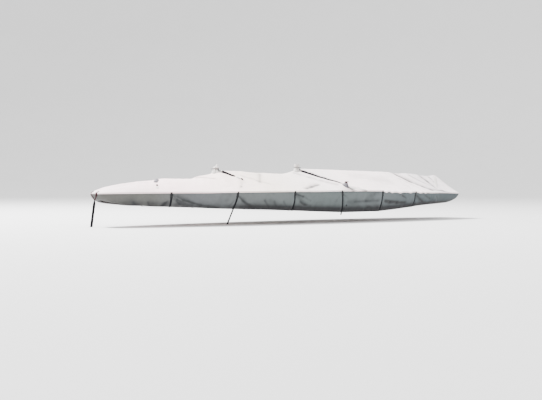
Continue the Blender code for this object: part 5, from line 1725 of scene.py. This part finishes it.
def build_side_patch():
    """The small round patch low on the port side."""
    outside, out = -1.3, Vector((0, PORT, 0))
    spot = cloth().side(Vector((SIDE_PATCH_X, outside, 0)), out, SIDE_PATCH_Z)
    rings = []
    for radius in SIDE_PATCH_RINGS:
        ring = []
        for n in range(SIDE_PATCH_SIDES):
            angle = 2 * math.pi * n / SIDE_PATCH_SIDES
            x, z = spot.x + radius * math.cos(angle), spot.z + radius * math.sin(angle)
            hit = cloth().side(Vector((x, outside, 0)), out, z)
            ring.append(hit + Vector((0, -sizes().patch_lift - SIDE_PATCH_GAP, 0)))
        rings.append(ring)
    around, inwards = np.arange(SIDE_PATCH_SIDES + 1), np.arange(len(rings))
    uv = np.stack(np.meshgrid(around * 0.004, inwards * 0.005), axis=-1)
    mesh = grid_mesh("side_patch", as_grid(rings), uv, closed=True)
    fill_holes(mesh, lambda place: (place - spot).length < 0.006)
    piece = new_piece("side_patch_sewn", mesh, finish("moulded_acetal"),
                      ["side_patch"])
    thicken(piece, sizes().patch_thick, outward=True)


# ---------------------------------------------------------------- stitching
SEAM_PLACES = (4.6, 6.4, 7.9, 9.4, 10.9, 13.4, 14.6, 15.7, 16.6)   # cross seams, by section
SEAM_ROWS = (-0.0045, 0.0045)   # rows of stitches on either side of a cross seam
EDGE_ROWS = (0.006, 0.016)      # rows of stitches in from the turned-down edge
STITCH_SIDES = 5
STITCH_RADIUS = 0.0009


def stitch_shape(length, radius):
    """One stitch: a low five-sided grain along X that lies on the cloth."""
    work = bmesh.new()
    bmesh.ops.create_cone(work, segments=STITCH_SIDES, radius1=radius, radius2=radius,
                          depth=length * 0.7, cap_ends=True)
    for vert in work.verts:
        x, y, z = vert.co
        vert.co = (z, y, x * 0.6)
    for end in (-1, 1):
        tip = work.verts.new((end * length / 2, 0, -radius * 0.5))
        caps = [f for f in work.faces
                if len(f.verts) == STITCH_SIDES and f.normal.x * end > 0.5]
        for cap in caps:
            edges = [tuple(e.verts) for e in cap.edges]
            bmesh.ops.delete(work, geom=[cap], context="FACES_ONLY")
            for a, b in edges:
                work.faces.new((a, b, tip))
    bmesh.ops.recalc_face_normals(work, faces=work.faces)
    mesh = bpy.data.meshes.new("stitch_shape")
    work.to_mesh(mesh)
    work.free()
    mesh.shade_smooth()
    return mesh


def stitch_row(line, normals, pitch, spots, turns):
    """Adds a stitch at every pitch along a line of points that lie on the cloth."""
    run = run_along(line)
    count = int(run[-1] / pitch)
    at = (np.arange(count) + 0.5) * pitch
    places = np.stack([np.interp(at, run, line[:, k]) for k in range(3)], axis=-1)
    ahead = np.stack([np.interp(at + pitch * 0.4, run, line[:, k]) for k in range(3)], axis=-1)
    up = np.stack([np.interp(at, run, normals[:, k]) for k in range(3)], axis=-1)
    for place, front, rise in zip(places, ahead, up):
        along = Vector(front - place).normalized()
        normal = Vector(rise).normalized()
        aside = normal.cross(along).normalized()
        normal = along.cross(aside)
        spots.append(Vector(place) + normal * 0.0004)
        turns.append(tuple(Matrix((along, aside, normal)).transposed().to_euler()))


def build_stitching():
    """Rows of stitches along the turned-down edge and the cross seams."""
    size = sizes()
    spots, turns = [], []
    last = len(SECTIONS) - 1
    places = spaced_places(0.25, last - 0.02, 0.02)
    for side in SIDE_NAMES:
        for inset in EDGE_ROWS:
            rows = section(places)
            share = 1 - inset / np.maximum(rows["sheer_half"], 0.05)
            line = np.array([roof(np.array([p]), np.array([side * s]))[0, 0]
                             for p, s in zip(places, share)])
            lift = np.zeros_like(line)
            lift[:, 2] = 1.0
            lift[:, 1] = side * 0.25
            stitch_row(line, lift, size.stitch_pitch, spots, turns)
    for place in SEAM_PLACES:
        for shift in SEAM_ROWS:
            v = np.linspace(-0.985, 0.985, 140)
            line = roof(np.array([place + shift]), v)[0]
            side_line = roof(np.array([place + shift + 0.01]), v)[0]
            normal = np.cross(side_line - line, np.gradient(line, axis=0))
            normal *= np.sign(normal[:, 2:3])
            stitch_row(line, normal, size.stitch_pitch, spots, turns)
    shape = stitch_shape(size.stitch, STITCH_RADIUS)
    mesh = repeat_on_points("stitches", spots, turns, shape, finish("bonded_thread_white"))
    new_piece("top_stitching", mesh, finish("bonded_thread_white"))


# ---------------------------------------------------------------- stage
CAMERA_DISTANCE = 26.0
CAMERA_AZIMUTH = -38.0
CAMERA_HEIGHT = 0.172
FOCAL_PIXELS = 976.0
IMAGE_WIDTH = 542.0
AIM_LEFT = 1.168         # degrees that the picture's middle lies left of the origin
AIM_DOWN = 0.855
SENSOR_WIDTH = 36.0
FLOOR_Z = -0.800
# Radius and rise of the floor's rings: flat, then curving up into a low wall.
FLOOR_RINGS = ((0.001, 0), (30, 0), (60, 0), (70, 1.2), (78, 4.5), (84, 10), (88, 18), (90, 30))
FLOOR_SIDES = 96
KEY_LIGHT_PLACE = (-13.0, 15.0, 28.0)
KEY_LIGHT_SIZE = 7.0
KEY_LIGHT_WATTS = 66000.0
SKY_STRENGTH = 2.5


def build_stage():
    """Camera, floor and soft studio light."""
    camera = bpy.data.objects.new("camera", bpy.data.cameras.new("camera"))
    bpy.context.scene.collection.objects.link(camera)
    angle = math.radians(CAMERA_AZIMUTH)
    camera.location = (
        math.sin(angle) * CAMERA_DISTANCE, -math.cos(angle) * CAMERA_DISTANCE, CAMERA_HEIGHT
    )
    camera.rotation_euler = (
        math.radians(90 - AIM_DOWN), 0, math.radians(CAMERA_AZIMUTH + AIM_LEFT)
    )
    camera.data.sensor_width = SENSOR_WIDTH
    camera.data.lens = FOCAL_PIXELS / IMAGE_WIDTH * SENSOR_WIDTH
    camera.data.clip_end = 400.0
    bpy.context.scene.camera = camera

    made, tree, shader = new_material("matte_studio_floor", 0.9)
    grain = add(tree, "ShaderNodeTexNoise", None,
                {"Vector": add(tree, "ShaderNodeTexCoord").outputs["Object"], "Scale": 0.6})
    tint = add(tree, "ShaderNodeValToRGB", None, {"Fac": grain.outputs["Fac"]},
               ((0.3, scaled(colours().floor, 0.985)), (0.7, tuple(colours().floor))))
    tree.links.new(tint.outputs["Color"], shader.inputs["Base Color"])
    turns = [2 * math.pi * n / FLOOR_SIDES for n in range(FLOOR_SIDES)]
    rings = [
        [(radius * math.cos(a), radius * math.sin(a), FLOOR_Z + rise) for a in turns]
        for radius, rise in FLOOR_RINGS
    ]
    uv = np.zeros((len(rings), FLOOR_SIDES + 1, 2))
    mesh = grid_mesh("studio_floor", np.array(rings)[:, ::-1], uv, closed=True)
    floor = bpy.data.objects.new("studio_floor", mesh)
    bpy.context.scene.collection.objects.link(floor)
    floor.data.materials.append(made)

    lamp = bpy.data.lights.new("key_light", "AREA")
    lamp.shape = "DISK"
    lamp.size = KEY_LIGHT_SIZE
    lamp.energy = KEY_LIGHT_WATTS
    light = bpy.data.objects.new("key_light", lamp)
    light.location = KEY_LIGHT_PLACE
    light.rotation_euler = (-Vector(KEY_LIGHT_PLACE)).to_track_quat("-Z", "Y").to_euler()
    bpy.context.scene.collection.objects.link(light)
    world = bpy.data.worlds.new("studio")
    bpy.context.scene.world = world
    world.use_nodes = True
    sky = world.node_tree.nodes["Background"]
    sky.inputs["Color"].default_value = WHITE
    sky.inputs["Strength"].default_value = SKY_STRENGTH


class COVER_OT_top(bpy.types.Operator):
    """Build the two panels of the top cloth"""

    bl_idname = "cover.top"
    bl_label = "Top cloth"

    def execute(self, context):
        build_top()
        return {"FINISHED"}


class COVER_OT_sides(bpy.types.Operator):
    """Build the side cloth with its hem"""

    bl_idname = "cover.sides"
    bl_label = "Side cloth"

    def execute(self, context):
        build_sides()
        return {"FINISHED"}


class COVER_OT_boots(bpy.types.Operator):
    """Build the collar and the three boots, with their ties"""

    bl_idname = "cover.boots"
    bl_label = "Boots and ties"

    def execute(self, context):
        build_mast_boots()
        build_forward_boot()
        return {"FINISHED"}


class COVER_OT_patches(bpy.types.Operator):
    """Build the closures, flaps and tabs on the top cloth"""

    bl_idname = "cover.patches"
    bl_label = "Closures and flaps"

    def execute(self, context):
        build_patches()
        build_side_patch()
        return {"FINISHED"}


class COVER_OT_straps(bpy.types.Operator):
    """Build the straps, their buckles and the webbing at the bow"""

    bl_idname = "cover.straps"
    bl_label = "Straps and buckles"

    def execute(self, context):
        build_straps()
        build_buckles()
        build_bow()
        return {"FINISHED"}


class COVER_OT_stitching(bpy.types.Operator):
    """Build the rows of stitches"""

    bl_idname = "cover.stitching"
    bl_label = "Stitching"

    def execute(self, context):
        build_stitching()
        return {"FINISHED"}


class COVER_OT_stage(bpy.types.Operator):
    """Set up the floor, lights and camera"""

    bl_idname = "cover.stage"
    bl_label = "Stage"

    def execute(self, context):
        build_stage()
        return {"FINISHED"}


OPERATORS = (
    COVER_OT_stage,
    COVER_OT_top,
    COVER_OT_sides,
    COVER_OT_boots,
    COVER_OT_patches,
    COVER_OT_straps,
    COVER_OT_stitching,
)


class COVER_PT_panel(bpy.types.Panel):
    """Lists what the cover is built from"""

    bl_label = "Boat cover"
    bl_idname = "COVER_PT_panel"
    bl_space_type = "VIEW_3D"
    bl_region_type = "UI"
    bl_category = "Boat cover"

    def draw(self, context):
        for operator in OPERATORS:
            self.layout.operator(operator.bl_idname)
        for group in (context.scene.cover_sizes, context.scene.cover_colours):
            box = self.layout.box()
            for name in group.__annotations__:
                box.prop(group, name)


CLASSES = (CoverSizes, CoverColours, *OPERATORS, COVER_PT_panel)


def register():
    for each in CLASSES:
        bpy.utils.register_class(each)
    bpy.types.Scene.cover_sizes = PointerProperty(type=CoverSizes)
    bpy.types.Scene.cover_colours = PointerProperty(type=CoverColours)


def unregister():
    del bpy.types.Scene.cover_colours
    del bpy.types.Scene.cover_sizes
    for each in reversed(CLASSES):
        bpy.utils.unregister_class(each)


def main():
    register()
    for operator in OPERATORS:
        group, name = operator.bl_idname.split(".")
        getattr(getattr(bpy.ops, group), name)()


if __name__ == "__main__":
    main()
